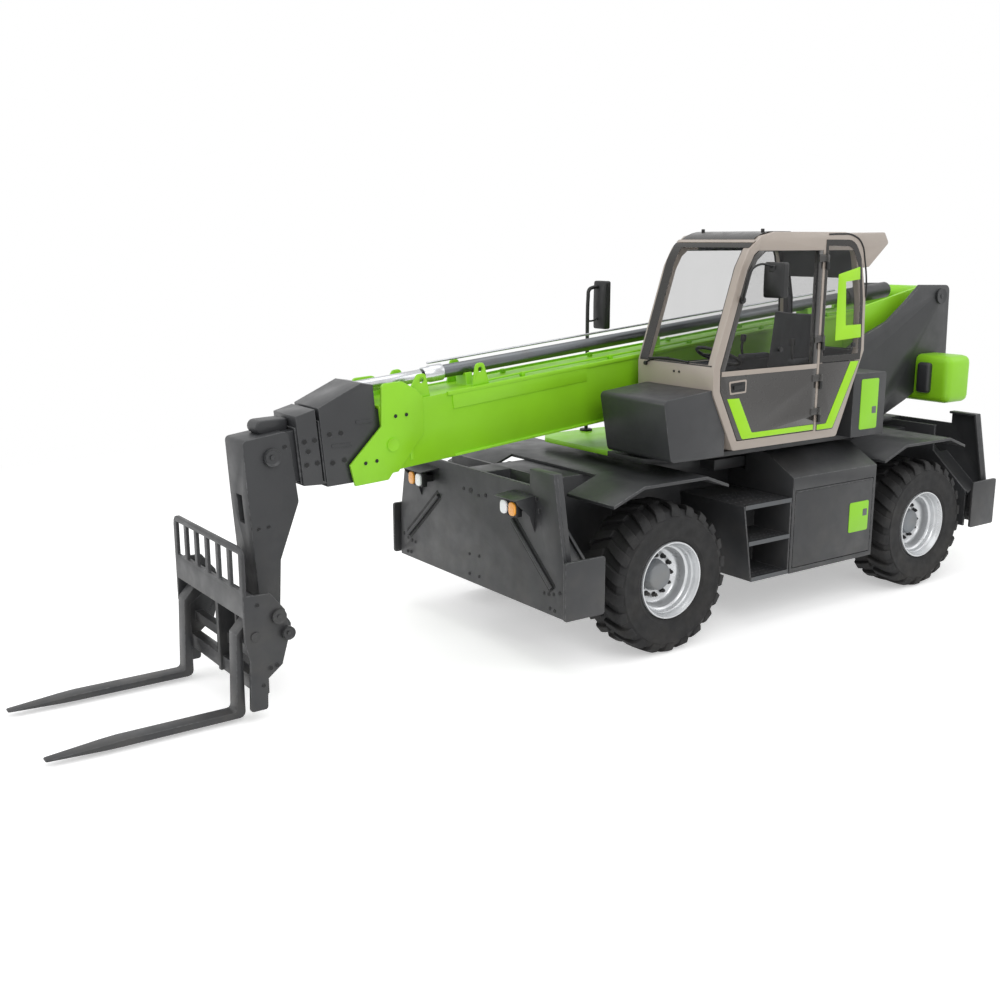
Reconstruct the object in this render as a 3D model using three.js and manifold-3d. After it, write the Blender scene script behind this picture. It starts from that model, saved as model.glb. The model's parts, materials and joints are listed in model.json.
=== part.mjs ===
// A rotating telescopic handler on four steered wheels, parked with its forks just above the ground.
// Millimetres. X points forward, Y to the machine's left and Z up. The slewing axis is X = 0, Y = 0 while
// the pieces are made, and the last lines move the whole machine so that its box is centred on the origin.
import * as THREE from "three";
import { mergeVertices } from "three/addons/utils/BufferGeometryUtils.js";
import { RoundedBoxGeometry } from "three/addons/geometries/RoundedBoxGeometry.js";
import Module from "manifold-3d";

const wasm = await Module();
wasm.setup();

// ---- Driving dimensions ----

const seatGap = 0.3; // between pieces that rest on each other
const pinGap = 0.8; // radial, between a pin and its bore
const slideGap = 0.6; // between a slide and its collar
const runGap = 6; // between pieces that pass each other

const wheelbase = 3076;
const axleX = wheelbase / 2;
const tyre = { radius: 575, width: 440, bead: 286, beadY: 186, treadHalf: 150, shoulder: 552 };
const wheelY = 915; // middle of a tyre from the machine's centre plane
const kingpin = { y: 850, radius: 30, reach: 150 };
const knuckle = { radius: 60, halfHeight: 104.5, spindle: 60 };
const rim = {
  flange: 298, flangeY: 205, drop: 262, inner: 250, disc: 45, hubCap: 100, hub: 110, boreEnd: 70,
};
const wheelSides = 36;
const rimSides = 18;

const frame = { halfWidth: 380, top: 1305, belly: 430, overAxle: 676, ends: 560, wall: 40 };
const sheet = 24; // fender and deck plate
const slewRing = { radius: 550, bore: 330, top: 1400, seat: 90 };
const frontOverhang = 1037; // from the axle to the outside face of the stabiliser frame
const rearOverhang = 962;

const platform = { top: 1440, front: 1490, rear: -1940, left: 850, right: -680 };
const boomY = -50; // the boom's centre plane
const boomSlope = THREE.MathUtils.degToRad(5.3); // nose down at rest
const boomPivot = { x: -2685, z: 2545, pin: 45, boss: 95 };
const boomTube = { width: 400, height: 480, wall: 20, rear: 500, front: 6190, axis: -270 };

// A turned tyre reaches this far in front of and behind its axle.
const turnedReach = Math.hypot(tyre.radius, tyre.width / 2 + wheelY - kingpin.y);

// ---- Finishes ----

const finishes = {
  darkPaint: { color: 0x4a4b4d, roughness: 0.5, metalness: 0.1 },
  greenPaint: { color: 0x86c52b, roughness: 0.4, metalness: 0.0 },
  cabPaint: { color: 0xa59a90, roughness: 0.45, metalness: 0.0 },
  steel: { color: 0xb9bcbf, roughness: 0.3, metalness: 1.0 },
  castIron: { color: 0x2d2e30, roughness: 0.7, metalness: 0.4 },
  rimPaint: { color: 0xc9cbcd, roughness: 0.35, metalness: 0.6 },
  rubber: { color: 0x202122, roughness: 0.85, metalness: 0.0 },
  plastic: { color: 0x242526, roughness: 0.6, metalness: 0.0 },
  glass: { color: 0x5d6266, roughness: 0.05, metalness: 0.0, transparent: true, opacity: 0.45 },
};

// ---- Shapes ----

// A solid from a closed geometry, with only its shared corner points kept.
function solidOf(geometry) {
  const bare = new THREE.BufferGeometry();
  bare.setAttribute("position", geometry.getAttribute("position").clone());
  if (geometry.index) bare.setIndex(geometry.index.clone());
  const merged = mergeVertices(bare, 1e-3);
  return new wasm.Manifold(
    new wasm.Mesh({
      numProp: 3,
      vertProperties: merged.getAttribute("position").array,
      triVerts: new Uint32Array(merged.index.array),
    }),
  );
}

function geometryOf(solid) {
  const mesh = solid.getMesh();
  const geometry = new THREE.BufferGeometry();
  geometry.setAttribute("position", new THREE.BufferAttribute(new Float32Array(mesh.vertProperties), 3));
  geometry.setIndex(new THREE.BufferAttribute(new Uint32Array(mesh.triVerts), 1));
  const faceted = geometry.toNonIndexed();
  faceted.computeVertexNormals();
  return faceted;
}

const asSolid = (shape) => (shape.isBufferGeometry ? solidOf(shape) : shape);

function join(...shapes) {
  return shapes.map(asSolid).reduce((sum, next) => sum.add(next));
}

function cut(shape, ...tools) {
  return tools.map(asSolid).reduce((left, tool) => left.subtract(tool), asSolid(shape));
}

function box(x0, x1, y0, y1, z0, z1) {
  const geometry = new THREE.BoxGeometry(x1 - x0, y1 - y0, z1 - z0);
  return geometry.translate((x0 + x1) / 2, (y0 + y1) / 2, (z0 + z1) / 2);
}

// A round bar from one point to another.
function bar(from, to, radius, sides = 16) {
  const start = new THREE.Vector3(...from);
  const end = new THREE.Vector3(...to);
  const way = end.clone().sub(start);
  const geometry = new THREE.CylinderGeometry(radius, radius, way.length(), sides);
  const turn = new THREE.Quaternion().setFromUnitVectors(new THREE.Vector3(0, 1, 0), way.normalize());
  const middle = start.add(end).multiplyScalar(0.5);
  return geometry.applyQuaternion(turn).translate(middle.x, middle.y, middle.z);
}

const barAcross = (x, z, y0, y1, radius, sides) => bar([x, y0, z], [x, y1, z], radius, sides);

// The points of a closed outline. A corner given as [a, b, radius] is rounded by an arc.
function outline(corners, steps = 3) {
  const points = [];
  const at = (i) => new THREE.Vector2(...corners.at(i % corners.length).slice(0, 2));
  corners.forEach(([, , radius = 0], i) => {
    const corner = at(i);
    if (radius === 0) {
      points.push(corner);
      return;
    }
    const back = at(i - 1).sub(corner).normalize();
    const on = at(i + 1).sub(corner).normalize();
    const half = Math.acos(back.dot(on)) / 2;
    const centre = back.clone().add(on).normalize().multiplyScalar(radius / Math.sin(half)).add(corner);
    const reach = radius / Math.tan(half);
    const first = back.multiplyScalar(reach).add(corner).sub(centre).angle();
    const last = on.multiplyScalar(reach).add(corner).sub(centre).angle();
    const sweep = THREE.MathUtils.euclideanModulo(last - first + Math.PI, 2 * Math.PI) - Math.PI;
    for (let step = 0; step <= steps; step += 1) {
      const angle = first + (sweep * step) / steps;
      points.push(new THREE.Vector2(Math.cos(angle), Math.sin(angle)).multiplyScalar(radius).add(centre));
    }
  });
  return points;
}

function extruded(corners, depth) {
  const shape = new THREE.Shape(outline(corners));
  return new THREE.ExtrudeGeometry(shape, { depth, bevelEnabled: false });
}

// A prism across the machine, from an outline of (x, z) corners.
function prismAcross(corners, y0, y1) {
  return extruded(corners, y1 - y0).rotateX(Math.PI / 2).translate(0, y1, 0);
}

// A prism along the machine, from an outline of (y, z) corners.
function prismAlong(corners, x0, x1) {
  const axes = [new THREE.Vector3(0, 1, 0), new THREE.Vector3(0, 0, 1), new THREE.Vector3(1, 0, 0)];
  const turned = extruded(corners, x1 - x0).applyMatrix4(new THREE.Matrix4().makeBasis(...axes));
  return turned.translate(x0, 0, 0);
}

// An upright prism, from an outline of (x, y) corners.
function prismUp(corners, z0, z1) {
  return extruded(corners, z1 - z0).translate(0, 0, z0);
}

// A body turned about the Y axis, from (radius, y) points.
function turned(profile, sides) {
  const points = profile.map(([radius, y]) => new THREE.Vector2(radius, y));
  if (THREE.ShapeUtils.area(points) < 0) points.reverse();
  if (points[0].x > 0) points.push(points[0].clone());
  return new THREE.LatheGeometry(points, sides);
}

// The corners of an outline moved inwards by a distance. Each rounding shrinks with it.
function inset(corners, distance) {
  const points = corners.map(([a, b]) => new THREE.Vector2(a, b));
  const side = THREE.ShapeUtils.area(points) < 0 ? -1 : 1;
  return points.map((point, i) => {
    const before = points.at(i - 1);
    const after = points[(i + 1) % points.length];
    const inward = [point.clone().sub(before), after.clone().sub(point)].map((edge) =>
      new THREE.Vector2(-edge.y, edge.x).normalize().multiplyScalar(side),
    );
    const sum = inward[0].clone().add(inward[1]);
    const moved = point.clone().add(sum.multiplyScalar((2 * distance) / sum.lengthSq()));
    return [moved.x, moved.y, Math.max((corners[i][2] ?? 0) - distance, 0)];
  });
}

const machine = new THREE.Group();

function place(group, name, finish, shape) {
  const material = new THREE.MeshStandardMaterial(finishes[finish]);
  const mesh = new THREE.Mesh(geometryOf(asSolid(shape)), material);
  mesh.name = name;
  group.add(mesh);
  return mesh;
}

// ---- Chassis ----

const chassis = new THREE.Group();
machine.add(chassis);

const deckBottom = frame.top + seatGap;
const frontFace = axleX + frontOverhang;
const rearFace = -axleX - rearOverhang;
const stabiliser = {
  depth: 275, front: 30, back: 25, halfWidth: 1120, bottom: 460, top: 1485, middleTop: 1365,
};

function chassisFrame() {
  const front = frontFace - stabiliser.depth - seatGap;
  const rear = rearFace + stabiliser.depth + seatGap;
  const arch = 310; // half the length of the raised stretch over an axle
  const slope = 60;
  const side = [
    [rear, frame.ends],
    [-axleX - arch - slope, frame.ends],
    [-axleX - arch, frame.overAxle],
    [-axleX + arch, frame.overAxle],
    [-axleX + arch + slope, frame.belly],
    [axleX - arch - slope, frame.belly],
    [axleX - arch, frame.overAxle],
    [axleX + arch, frame.overAxle],
    [axleX + arch + slope, frame.ends],
    [front, frame.ends],
    [front, frame.top],
    [rear, frame.top],
  ];
  const inside = frame.halfWidth - frame.wall;
  const crossings = [
    rear, -axleX - arch, -axleX + arch, -axleX / 3, axleX / 3, axleX - arch, axleX + arch, front,
  ];
  const bays = crossings.slice(1).map((x, i) =>
    box(crossings[i] + frame.wall, x - frame.wall, -inside, inside, 0, frame.top - frame.wall),
  );
  const ring = bar([0, 0, frame.top - frame.wall], [0, 0, slewRing.top - slideGap], slewRing.radius, 32);
  const bore = bar([0, 0, frame.top], [0, 0, slewRing.top], slewRing.bore, 16);
  const seat = box(
    -slewRing.radius, slewRing.radius, -slewRing.radius, slewRing.radius, frame.top - slewRing.seat,
    frame.top,
  );
  return cut(join(cut(prismAcross(side, -frame.halfWidth, frame.halfWidth), ...bays), seat, ring), bore);
}

place(chassis, "chassis_frame", "darkPaint", chassisFrame());

// Front deck with its two fenders: flat over the wheels, with a lip falling in front and behind.
function fenders(x) {
  const drop = { front: 110, rear: 85 };
  const flat = { front: 282, rear: 358 };
  const lip = { front: 572, rear: 588 };
  const top = [
    [x + lip.front, deckBottom + sheet - drop.front],
    [x + flat.front, deckBottom + sheet],
    [x - flat.rear, deckBottom + sheet],
    [x - lip.rear, deckBottom + sheet - drop.rear],
  ];
  const under = top.map(([a, z]) => [a, z - sheet]).reverse();
  const outerY = 1100;
  const innerY = 550;
  const lipGap = (from, to) => box(from, to, -innerY, innerY, deckBottom - 200, deckBottom + 2 * sheet);
  return cut(
    prismAcross([...top, ...under], -outerY, outerY),
    lipGap(x + flat.front, x + lip.front + 10),
    lipGap(x - lip.rear - 10, x - flat.rear),
  );
}

place(chassis, "front_fenders", "darkPaint", fenders(axleX));
place(chassis, "rear_fenders", "darkPaint", fenders(-axleX));

// A stabiliser frame: a front and a back plate with the legs' guides between them.
const leg = {
  pivotY: 1100, pivotZ: 600, slope: THREE.MathUtils.degToRad(40.9), innerY: 350,
  height: 150, width: 110, pin: 22, end: 48,
};
const legWay = { y: Math.cos(leg.slope), z: -Math.sin(leg.slope) };
const legLength = (leg.pivotY - leg.innerY) / legWay.y;

// A (y, z) point given by its distance back along the leg from its foot pin,
// and by its height over the leg's middle.
function onLeg(back, over) {
  return [leg.pivotY - back * legWay.y - over * legWay.z, leg.pivotZ - back * legWay.z + over * legWay.y];
}

// The front plate rises to a tower on each side. The back plate only covers the legs' guides.
const tower = { out: 990, in: 710, foot: 870, flange: 75, sheet: 22 };
const frontPlate = [
  [stabiliser.halfWidth, stabiliser.bottom],
  [stabiliser.halfWidth - 10, tower.foot],
  [tower.out, stabiliser.top],
  [tower.in, stabiliser.top],
  [tower.in, stabiliser.middleTop],
];
const backPlate = [
  [stabiliser.halfWidth - 40, stabiliser.bottom],
  [stabiliser.halfWidth - 40, 790],
  [tower.in - 10, 1125],
  [tower.in - 10, stabiliser.middleTop],
];

function stabiliserPlate(half, x0, x1) {
  const mirrored = half.map(([y, z]) => [-y, z]).reverse();
  return prismAlong([...half, ...mirrored], x0, x1);
}

function stabiliserFrame(face, way) {
  const span = (from, to) => [
    Math.min(face - way * from, face - way * to),
    Math.max(face - way * from, face - way * to),
  ];
  const between = span(stabiliser.front - 5, stabiliser.depth - stabiliser.back + 5);
  const half = leg.height / 2 + slideGap;
  const guideWall = 30;
  const guides = [1, -1].flatMap((side) =>
    [1, -1].map((over) => {
      const reach = [130, over > 0 ? 640 : 560];
      const corners = [
        onLeg(reach[0], over * half),
        onLeg(reach[1], over * half),
        onLeg(reach[1], over * (half + guideWall)),
        onLeg(reach[0], over * (half + guideWall)),
      ];
      return prismAlong(corners.map(([y, z]) => [side * y, z]), ...between);
    }),
  );
  const post = box(...between, -120, 120, stabiliser.bottom, stabiliser.middleTop);
  const rim = [
    [stabiliser.halfWidth - 12, tower.foot - 10],
    [tower.out, stabiliser.top],
    [tower.in, stabiliser.top],
    [tower.in, stabiliser.top - tower.sheet],
    [tower.out - tower.sheet, stabiliser.top - tower.sheet],
    [stabiliser.halfWidth - 12 - tower.sheet, tower.foot - 10],
  ];
  const towerRims = [1, -1].map((side) =>
    prismAlong(rim.map(([y, z]) => [side * y, z]), ...span(stabiliser.front - 5, tower.flange)),
  );
  const slot = { from: [500, 1080], to: [990, 655], half: 16 };
  const lean = { y: slot.half * Math.sin(leg.slope), z: slot.half * Math.cos(leg.slope) };
  const slots = [1, -1].map((side) =>
    prismAlong(
      [
        [side * (slot.from[0] + lean.y), slot.from[1] + lean.z],
        [side * (slot.to[0] + lean.y), slot.to[1] + lean.z],
        [side * (slot.to[0] - lean.y), slot.to[1] - lean.z],
        [side * (slot.from[0] - lean.y), slot.from[1] - lean.z],
      ],
      ...span(-5, stabiliser.front + 5),
    ),
  );
  const plates = [
    stabiliserPlate(frontPlate, ...span(0, stabiliser.front)),
    stabiliserPlate(backPlate, ...span(stabiliser.depth - stabiliser.back, stabiliser.depth)),
  ];
  return cut(join(...plates, post, ...guides, ...towerRims), ...slots);
}

place(chassis, "front_stabiliser_frame", "darkPaint", stabiliserFrame(frontFace, 1));
place(chassis, "rear_stabiliser_frame", "darkPaint", stabiliserFrame(rearFace, -1));

// A leg slides out and down along its guides, and its foot turns flat on a pin at its end.
const foot = { face: 1185, plate: 25, bottom: 467, top: 896, halfLength: 180, gusset: 20, round: 90 };

function legBeam(x, side) {
  const half = leg.height / 2;
  const taper = 60;
  const corners = [
    onLeg(legLength, -half), onLeg(legLength, half), onLeg(taper, half), onLeg(0, leg.end),
    onLeg(0, -leg.end), onLeg(taper, -half),
  ];
  const end = bar(
    [x - leg.width / 2, leg.pivotY, leg.pivotZ],
    [x + leg.width / 2, leg.pivotY, leg.pivotZ],
    leg.end,
    16,
  );
  const hole = bar(
    [x - leg.width, leg.pivotY, leg.pivotZ], [x + leg.width, leg.pivotY, leg.pivotZ], leg.pin + pinGap,
  );
  const left = cut(join(prismAlong(corners, x - leg.width / 2, x + leg.width / 2), end), hole);
  return side > 0 ? left : mirrorSolid(left);
}

// The same solid on the machine's other side.
function mirrorSolid(solid) {
  const geometry = geometryOf(solid).scale(1, -1, 1);
  const position = geometry.getAttribute("position");
  for (let i = 0; i < position.count; i += 3) {
    const [x, y, z] = [position.getX(i), position.getY(i), position.getZ(i)];
    position.setXYZ(i, position.getX(i + 1), position.getY(i + 1), position.getZ(i + 1));
    position.setXYZ(i + 1, x, y, z);
  }
  return solidOf(geometry);
}

function legFoot(x, side) {
  const inner = foot.face - foot.plate;
  const plate = prismAcross(
    [
      [x - foot.halfLength, foot.bottom, 20],
      [x + foot.halfLength, foot.bottom, 20],
      [x + foot.halfLength, foot.top, 20],
      [x - foot.halfLength, foot.top, 20],
    ],
    inner,
    foot.face,
  );
  const ear = [
    [inner + 5, foot.bottom + 25],
    [leg.pivotY - 20, leg.pivotZ - 60, 40],
    [leg.pivotY - 55, leg.pivotZ + 20, foot.round],
    [leg.pivotY - 20, foot.top - 110, foot.round],
    [inner + 5, foot.top - 20],
  ];
  const earAt = leg.width / 2 + runGap;
  const ears = [
    x - earAt - foot.gusset, x + earAt,
  ].map((from) => prismAlong(ear, from, from + foot.gusset));
  const pinHalf = earAt + foot.gusset + 12;
  const pin = bar(
    [x - pinHalf, leg.pivotY, leg.pivotZ], [x + pinHalf, leg.pivotY, leg.pivotZ], leg.pin, 12,
  );
  const left = join(plate, ...ears, pin);
  return side > 0 ? left : mirrorSolid(left);
}

const legMiddle = stabiliser.front + (stabiliser.depth - stabiliser.front - stabiliser.back) / 2;
const sides = { left: 1, right: -1 };
const ends = {
  front: { axle: axleX, legX: frontFace - legMiddle },
  rear: { axle: -axleX, legX: rearFace + legMiddle },
};

for (const [end, { legX }] of Object.entries(ends)) {
  for (const [sideName, side] of Object.entries(sides)) {
    place(chassis, `${end}_${sideName}_stabiliser_leg`, "darkPaint", legBeam(legX, side));
    place(chassis, `${end}_${sideName}_stabiliser_foot`, "darkPaint", legFoot(legX, side));
  }
}

// Axle: a housing with a wide middle and a forked end that carries each kingpin.
function axle(x) {
  const fork = { inner: 700, web: 742, half: 70, ear: 57 };
  const housing = turned(
    [
      [0, -fork.inner - 20], [82, -fork.inner - 20], [82, -300], [190, -120], [190, 120], [82, 300],
      [82, fork.inner + 20], [0, fork.inner + 20],
    ],
    18,
  ).translate(x, 0, tyre.radius);
  const forks = Object.values(sides).flatMap((side) => {
    const across = (a, b) => [Math.min(side * a, side * b), Math.max(side * a, side * b)];
    const web = box(
      x - fork.half, x + fork.half, ...across(fork.inner, fork.web), tyre.radius - kingpin.reach,
      tyre.radius + kingpin.reach,
    );
    const earSpan = [
      [knuckle.halfHeight + slideGap, kingpin.reach],
      [-kingpin.reach, -knuckle.halfHeight - slideGap],
    ];
    const ears = earSpan.flatMap(([low, high]) => [
      box(
        x - fork.ear, x + fork.ear, ...across(fork.web - 5, kingpin.y), tyre.radius + low,
        tyre.radius + high,
      ),
      bar(
        [x, side * kingpin.y, tyre.radius + low],
        [x, side * kingpin.y, tyre.radius + high],
        fork.ear,
        16,
      ),
    ]);
    return [web, ...ears];
  });
  const springSeats = Object.values(sides).map((side) => {
    const y = side * (frame.halfWidth - frame.wall / 2);
    return box(x - 90, x + 90, y - 40, y + 40, tyre.radius, frame.overAxle - seatGap);
  });
  const bore = (kingpin.radius + pinGap) / Math.cos(Math.PI / 16); // its flats clear the kingpin
  const bores = Object.values(sides).map((side) =>
    bar([x, side * kingpin.y, 0], [x, side * kingpin.y, 2 * tyre.radius], bore, 16),
  );
  return cut(join(housing, ...forks, ...springSeats), ...bores);
}

function knuckleBody(x, side) {
  const y = side * kingpin.y;
  const middle = tyre.radius;
  const spindleEnd = side * (wheelY + rim.boreEnd - seatGap);
  return join(
    bar([x, y, middle - knuckle.halfHeight], [x, y, middle + knuckle.halfHeight], knuckle.radius, 16),
    bar([x, y, middle - kingpin.reach], [x, y, middle + kingpin.reach], kingpin.radius, 16),
    barAcross(x, middle, Math.min(y, spindleEnd), Math.max(y, spindleEnd), knuckle.spindle, rimSides),
  );
}

function tyreBody() {
  const half = tyre.width / 2;
  const side = [
    [tyre.bead, tyre.beadY], [rim.flange + 1.5, tyre.beadY], [335, 206], [470, half], [tyre.shoulder, 196],
    [tyre.radius, tyre.treadHalf],
  ];
  return turned([...side, ...side.map(([radius, y]) => [radius, -y]).reverse()], wheelSides);
}

function rimBody() {
  // Inside the flats of the tyre's facets.
  const seat = tyre.bead * Math.cos(Math.PI / wheelSides) - seatGap;
  // Its flats clear the spindle's corners.
  const bore = (knuckle.spindle + pinGap) / Math.cos(Math.PI / rimSides);
  return turned(
    [
      [0, rim.hubCap], [rim.hub, rim.hubCap], [rim.hub, rim.disc], [rim.inner, rim.disc],
      [rim.inner, 120], [rim.flange - 12, rim.flangeY], [rim.flange, rim.flangeY], [
        rim.flange, tyre.beadY + seatGap,
      ], [seat, tyre.beadY + seatGap], [seat, 160],
      [rim.drop, 110], [rim.drop, -110], [seat, -160], [seat, -tyre.beadY - seatGap], [
        rim.flange, -tyre.beadY - seatGap,
      ], [rim.flange, -rim.flangeY],
      [rim.flange - 12, -rim.flangeY], [rim.inner, -120], [rim.inner, 10], [bore, 10],
      [bore, rim.boreEnd], [0, rim.boreEnd],
    ],
    rimSides,
  );
}

for (const [end, { axle: x }] of Object.entries(ends)) {
  place(chassis, `${end}_axle`, "castIron", axle(x));
  for (const [sideName, side] of Object.entries(sides)) {
    const wheel = new THREE.Group();
    wheel.position.set(x, side * wheelY, tyre.radius);
    // A half facet's turn stands each tyre on a flat, and a right wheel faces the other way.
    wheel.rotation.set(0, Math.PI / wheelSides, side > 0 ? 0 : Math.PI, "ZYX");
    chassis.add(wheel);
    place(chassis, `${end}_${sideName}_knuckle`, "castIron", knuckleBody(x, side));
    place(wheel, `${end}_${sideName}_rim`, "rimPaint", rimBody());
    place(wheel, `${end}_${sideName}_tyre`, "rubber", tyreBody());
  }
}

// ---- Side boxes, between the wheels ----

const bay = {
  rear: -(axleX - turnedReach - 46), front: axleX - turnedReach - 126, outer: 1100,
  inner: frame.halfWidth + seatGap,
};
const sideBox = {
  bottom: 400, shoulder: 1200, top: 1370, slopeY: 800, wall: 30, doorBottom: 440, doorTop: 1095, doorGap: 6,
  door: 28,
};

const doorPin = { y: bay.outer - 16, z: sideBox.doorTop - 17 };

// A shell open on its outer face, where its door hangs from a hinge pin along the top edge.
function sideShell(x0, x1) {
  const outer = [
    [bay.inner, sideBox.bottom],
    [bay.outer, sideBox.bottom],
    [bay.outer, sideBox.shoulder],
    [sideBox.slopeY, sideBox.top],
    [slewRing.radius + 20, sideBox.top],
    [slewRing.radius + 20, frame.top - slewRing.seat - 20],
    [bay.inner, frame.top - slewRing.seat - 20],
  ];
  const wall = sideBox.wall;
  const hollow = inset(outer, wall);
  const mouth = box(
    x0 + wall, x1 - wall, bay.outer - 2 * wall, bay.outer + wall, sideBox.doorBottom, sideBox.doorTop,
  );
  const pinStubs = [
    x0 + wall + 1, x1 - wall - 31,
  ].map((x) => bar([x - 10, doorPin.y, doorPin.z], [x + 40, doorPin.y, doorPin.z], 8, 16));
  return join(cut(prismAlong(outer, x0, x1), prismAlong(hollow, x0 + wall, x1 - wall), mouth), ...pinStubs);
}

function sideDoor(x0, x1) {
  const gap = sideBox.doorGap;
  const wall = sideBox.wall;
  const panel = box(
    x0 + wall + gap, x1 - wall - gap, bay.outer - sideBox.door, bay.outer, sideBox.doorBottom + gap,
    doorPin.z,
  );
  const edge = bar(
    [x0 + wall + gap, doorPin.y, doorPin.z], [x1 - wall - gap, doorPin.y, doorPin.z], 15, 16,
  );
  const bore = bar([x0, doorPin.y, doorPin.z], [x1, doorPin.y, doorPin.z], 8 + pinGap, 16);
  return cut(join(panel, edge), bore);
}

const leftBoxFront = 205;
place(chassis, "left_side_box", "darkPaint", sideShell(bay.rear, leftBoxFront));
place(chassis, "left_box_door", "darkPaint", sideDoor(bay.rear, leftBoxFront));
place(chassis, "engine_housing", "darkPaint", mirrorSolid(sideShell(bay.rear, bay.front)));
place(chassis, "engine_door", "darkPaint", mirrorSolid(sideDoor(bay.rear, bay.front)));

const engine = {
  length: 950,
  width: bay.outer - bay.inner - 2 * sideBox.wall - 140,
  height: 700,
  middleX: -60,
  middleY: -(bay.outer + bay.inner) / 2,
};
place(
  chassis,
  "engine_block",
  "castIron",
  prismAlong(
    [
      [engine.middleY - engine.width / 2, sideBox.bottom + sideBox.wall + seatGap],
      [engine.middleY + engine.width / 2, sideBox.bottom + sideBox.wall + seatGap],
      [engine.middleY + engine.width / 2, sideBox.bottom + sideBox.wall + engine.height, 60],
      [engine.middleY - engine.width / 2, sideBox.bottom + sideBox.wall + engine.height, 60],
    ],
    engine.middleX - engine.length / 2,
    engine.middleX + engine.length / 2,
  ),
);

const steps = { top: 1040, tread: 30, rise: 300, bottom: 410, cheek: 14, lean: 110, backY: 700 };

function accessSteps() {
  const x0 = leftBoxFront + 10;
  const x1 = bay.front;
  const cheek = (top, low) =>
    prismAcross(
      [
        [low, steps.bottom], [low + steps.cheek, steps.bottom], [top + steps.cheek, steps.top],
        [top, steps.top],
      ],
      bay.inner,
      bay.outer,
    );
  const frontCheek = cheek(x1 - steps.cheek, x1 - steps.cheek - steps.lean);
  const rearCheek = cheek(x0, x0);
  const reach = (z) => x1 - steps.cheek / 2 - (steps.lean * (steps.top - z)) / (steps.top - steps.bottom);
  const tread = (z, inner) => box(x0 + 5, reach(z), inner, bay.outer, z - steps.tread, z);
  const back = box(
    x0 + 5, reach(steps.bottom), steps.backY, steps.backY + steps.cheek, steps.bottom, steps.top - 5,
  );
  return join(
    frontCheek,
    rearCheek,
    back,
    tread(steps.top, bay.inner),
    tread(steps.top - steps.rise, steps.backY),
    tread(steps.bottom + steps.tread, steps.backY),
  );
}

place(chassis, "access_steps", "darkPaint", accessSteps());

// ---- Turret ----

const turret = new THREE.Group();
machine.add(turret);

// The platform turns on the slewing ring and carries the cab on its left side.
function turretPlatform() {
  const plan = [
    [platform.rear, platform.right],
    [platform.front - 120, platform.right, 120],
    [platform.front, platform.right + 150, 80],
    [platform.front, platform.left - 150, 80],
    [platform.front - 150, platform.left, 80],
    [-1060, platform.left],
    [-1060, 420],
    [platform.rear, 420],
  ];
  const mounts = [[-260, 380], [-260, 780], [820, 380], [820, 780]].map(([x, y]) =>
    bar([x, y, platform.top - 10], [x, y, cab.bottom - seatGap], 45, 16),
  );
  return join(prismUp(plan, slewRing.top, platform.top), ...mounts);
}

const cab = {
  bottom: 1500, top: 3140, right: 263, left: 1100, wall: 60, floor: 60, post: -30, postHalf: 30,
};

place(turret, "turret_platform", "greenPaint", turretPlatform());

// Two side plates stand on the platform and hold the boom's pivot pin and the lift cylinder's pin.
const plate = { inner: 340, thickness: 40 };
const lift = {
  foot: { x: -1840, z: 1556 }, eye: { x: 510, z: 1655 }, pin: 40, barrel: 85, bore: 60, rod: 45,
  barrelLength: 2010,
};

function turretFrame() {
  const side = [
    [-2830, 2650, 60],
    [-2370, 2660],
    [-2160, 2500],
    [-1900, 2330],
    [-1530, 2200],
    [-640, 1730],
    [-640, cab.bottom - 20],
    [600, cab.bottom - 20],
    [600, platform.top + seatGap],
    [platform.rear + 10, platform.top + seatGap],
    [-2250, 1565],
    [-2860, 1870, 60],
  ];
  const inner = plate.inner;
  const outer = plate.inner + plate.thickness;
  const plates = [
    prismAcross(side, boomY + inner, boomY + outer),
    prismAcross(side, boomY - outer, boomY - inner),
  ];
  const across = (x0, x1, z0, z1) => box(x0, x1, boomY - inner - 5, boomY + inner + 5, z0, z1);
  const floor = across(-1930, 600, platform.top + seatGap, platform.top + 20);
  const tail = prismAcross(
    [[-2250, 1580], [-1930, 1450], [-1930, 1490], [-2235, 1610]],
    boomY - inner - 5,
    boomY + inner + 5,
  );
  const pins = [[boomPivot, boomPivot.pin], [lift.foot, lift.pin]].map(([at, radius]) =>
    barAcross(at.x, at.z, boomY - outer - 12, boomY + outer + 12, radius, 24),
  );
  return join(...plates, floor, tail, ...pins);
}

place(turret, "turret_frame", "darkPaint", turretFrame());

// Counterweight: a rounded block across the tail, slotted over both side plates.
const weight = { rear: -2745, front: -2375, right: -800, left: 700, bottom: 1550, top: 2000, round: 70 };

function counterweight() {
  const size = [weight.front - weight.rear, weight.left - weight.right, weight.top - weight.bottom];
  const block = new RoundedBoxGeometry(...size, 2, weight.round).translate(
    (weight.front + weight.rear) / 2,
    (weight.left + weight.right) / 2,
    (weight.top + weight.bottom) / 2,
  );
  const lowEdge = (x) => 1565 + ((-2250 - x) * (1870 - 1565)) / 610;
  const slots = [1, -1].map((side) => {
    const ys = [side * plate.inner, side * (plate.inner + plate.thickness)].sort((a, b) => a - b);
    const foot = [
      [weight.rear - 200, weight.top + 10],
      [weight.rear - 200, lowEdge(weight.rear - 200) - seatGap],
      [weight.front + 20, lowEdge(weight.front + 20) - seatGap],
      [weight.front + 20, weight.top + 10],
    ];
    return prismAcross(foot, boomY + ys[0] - seatGap, boomY + ys[1] + seatGap);
  });
  return cut(block, ...slots);
}

place(turret, "counterweight", "greenPaint", counterweight());

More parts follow.
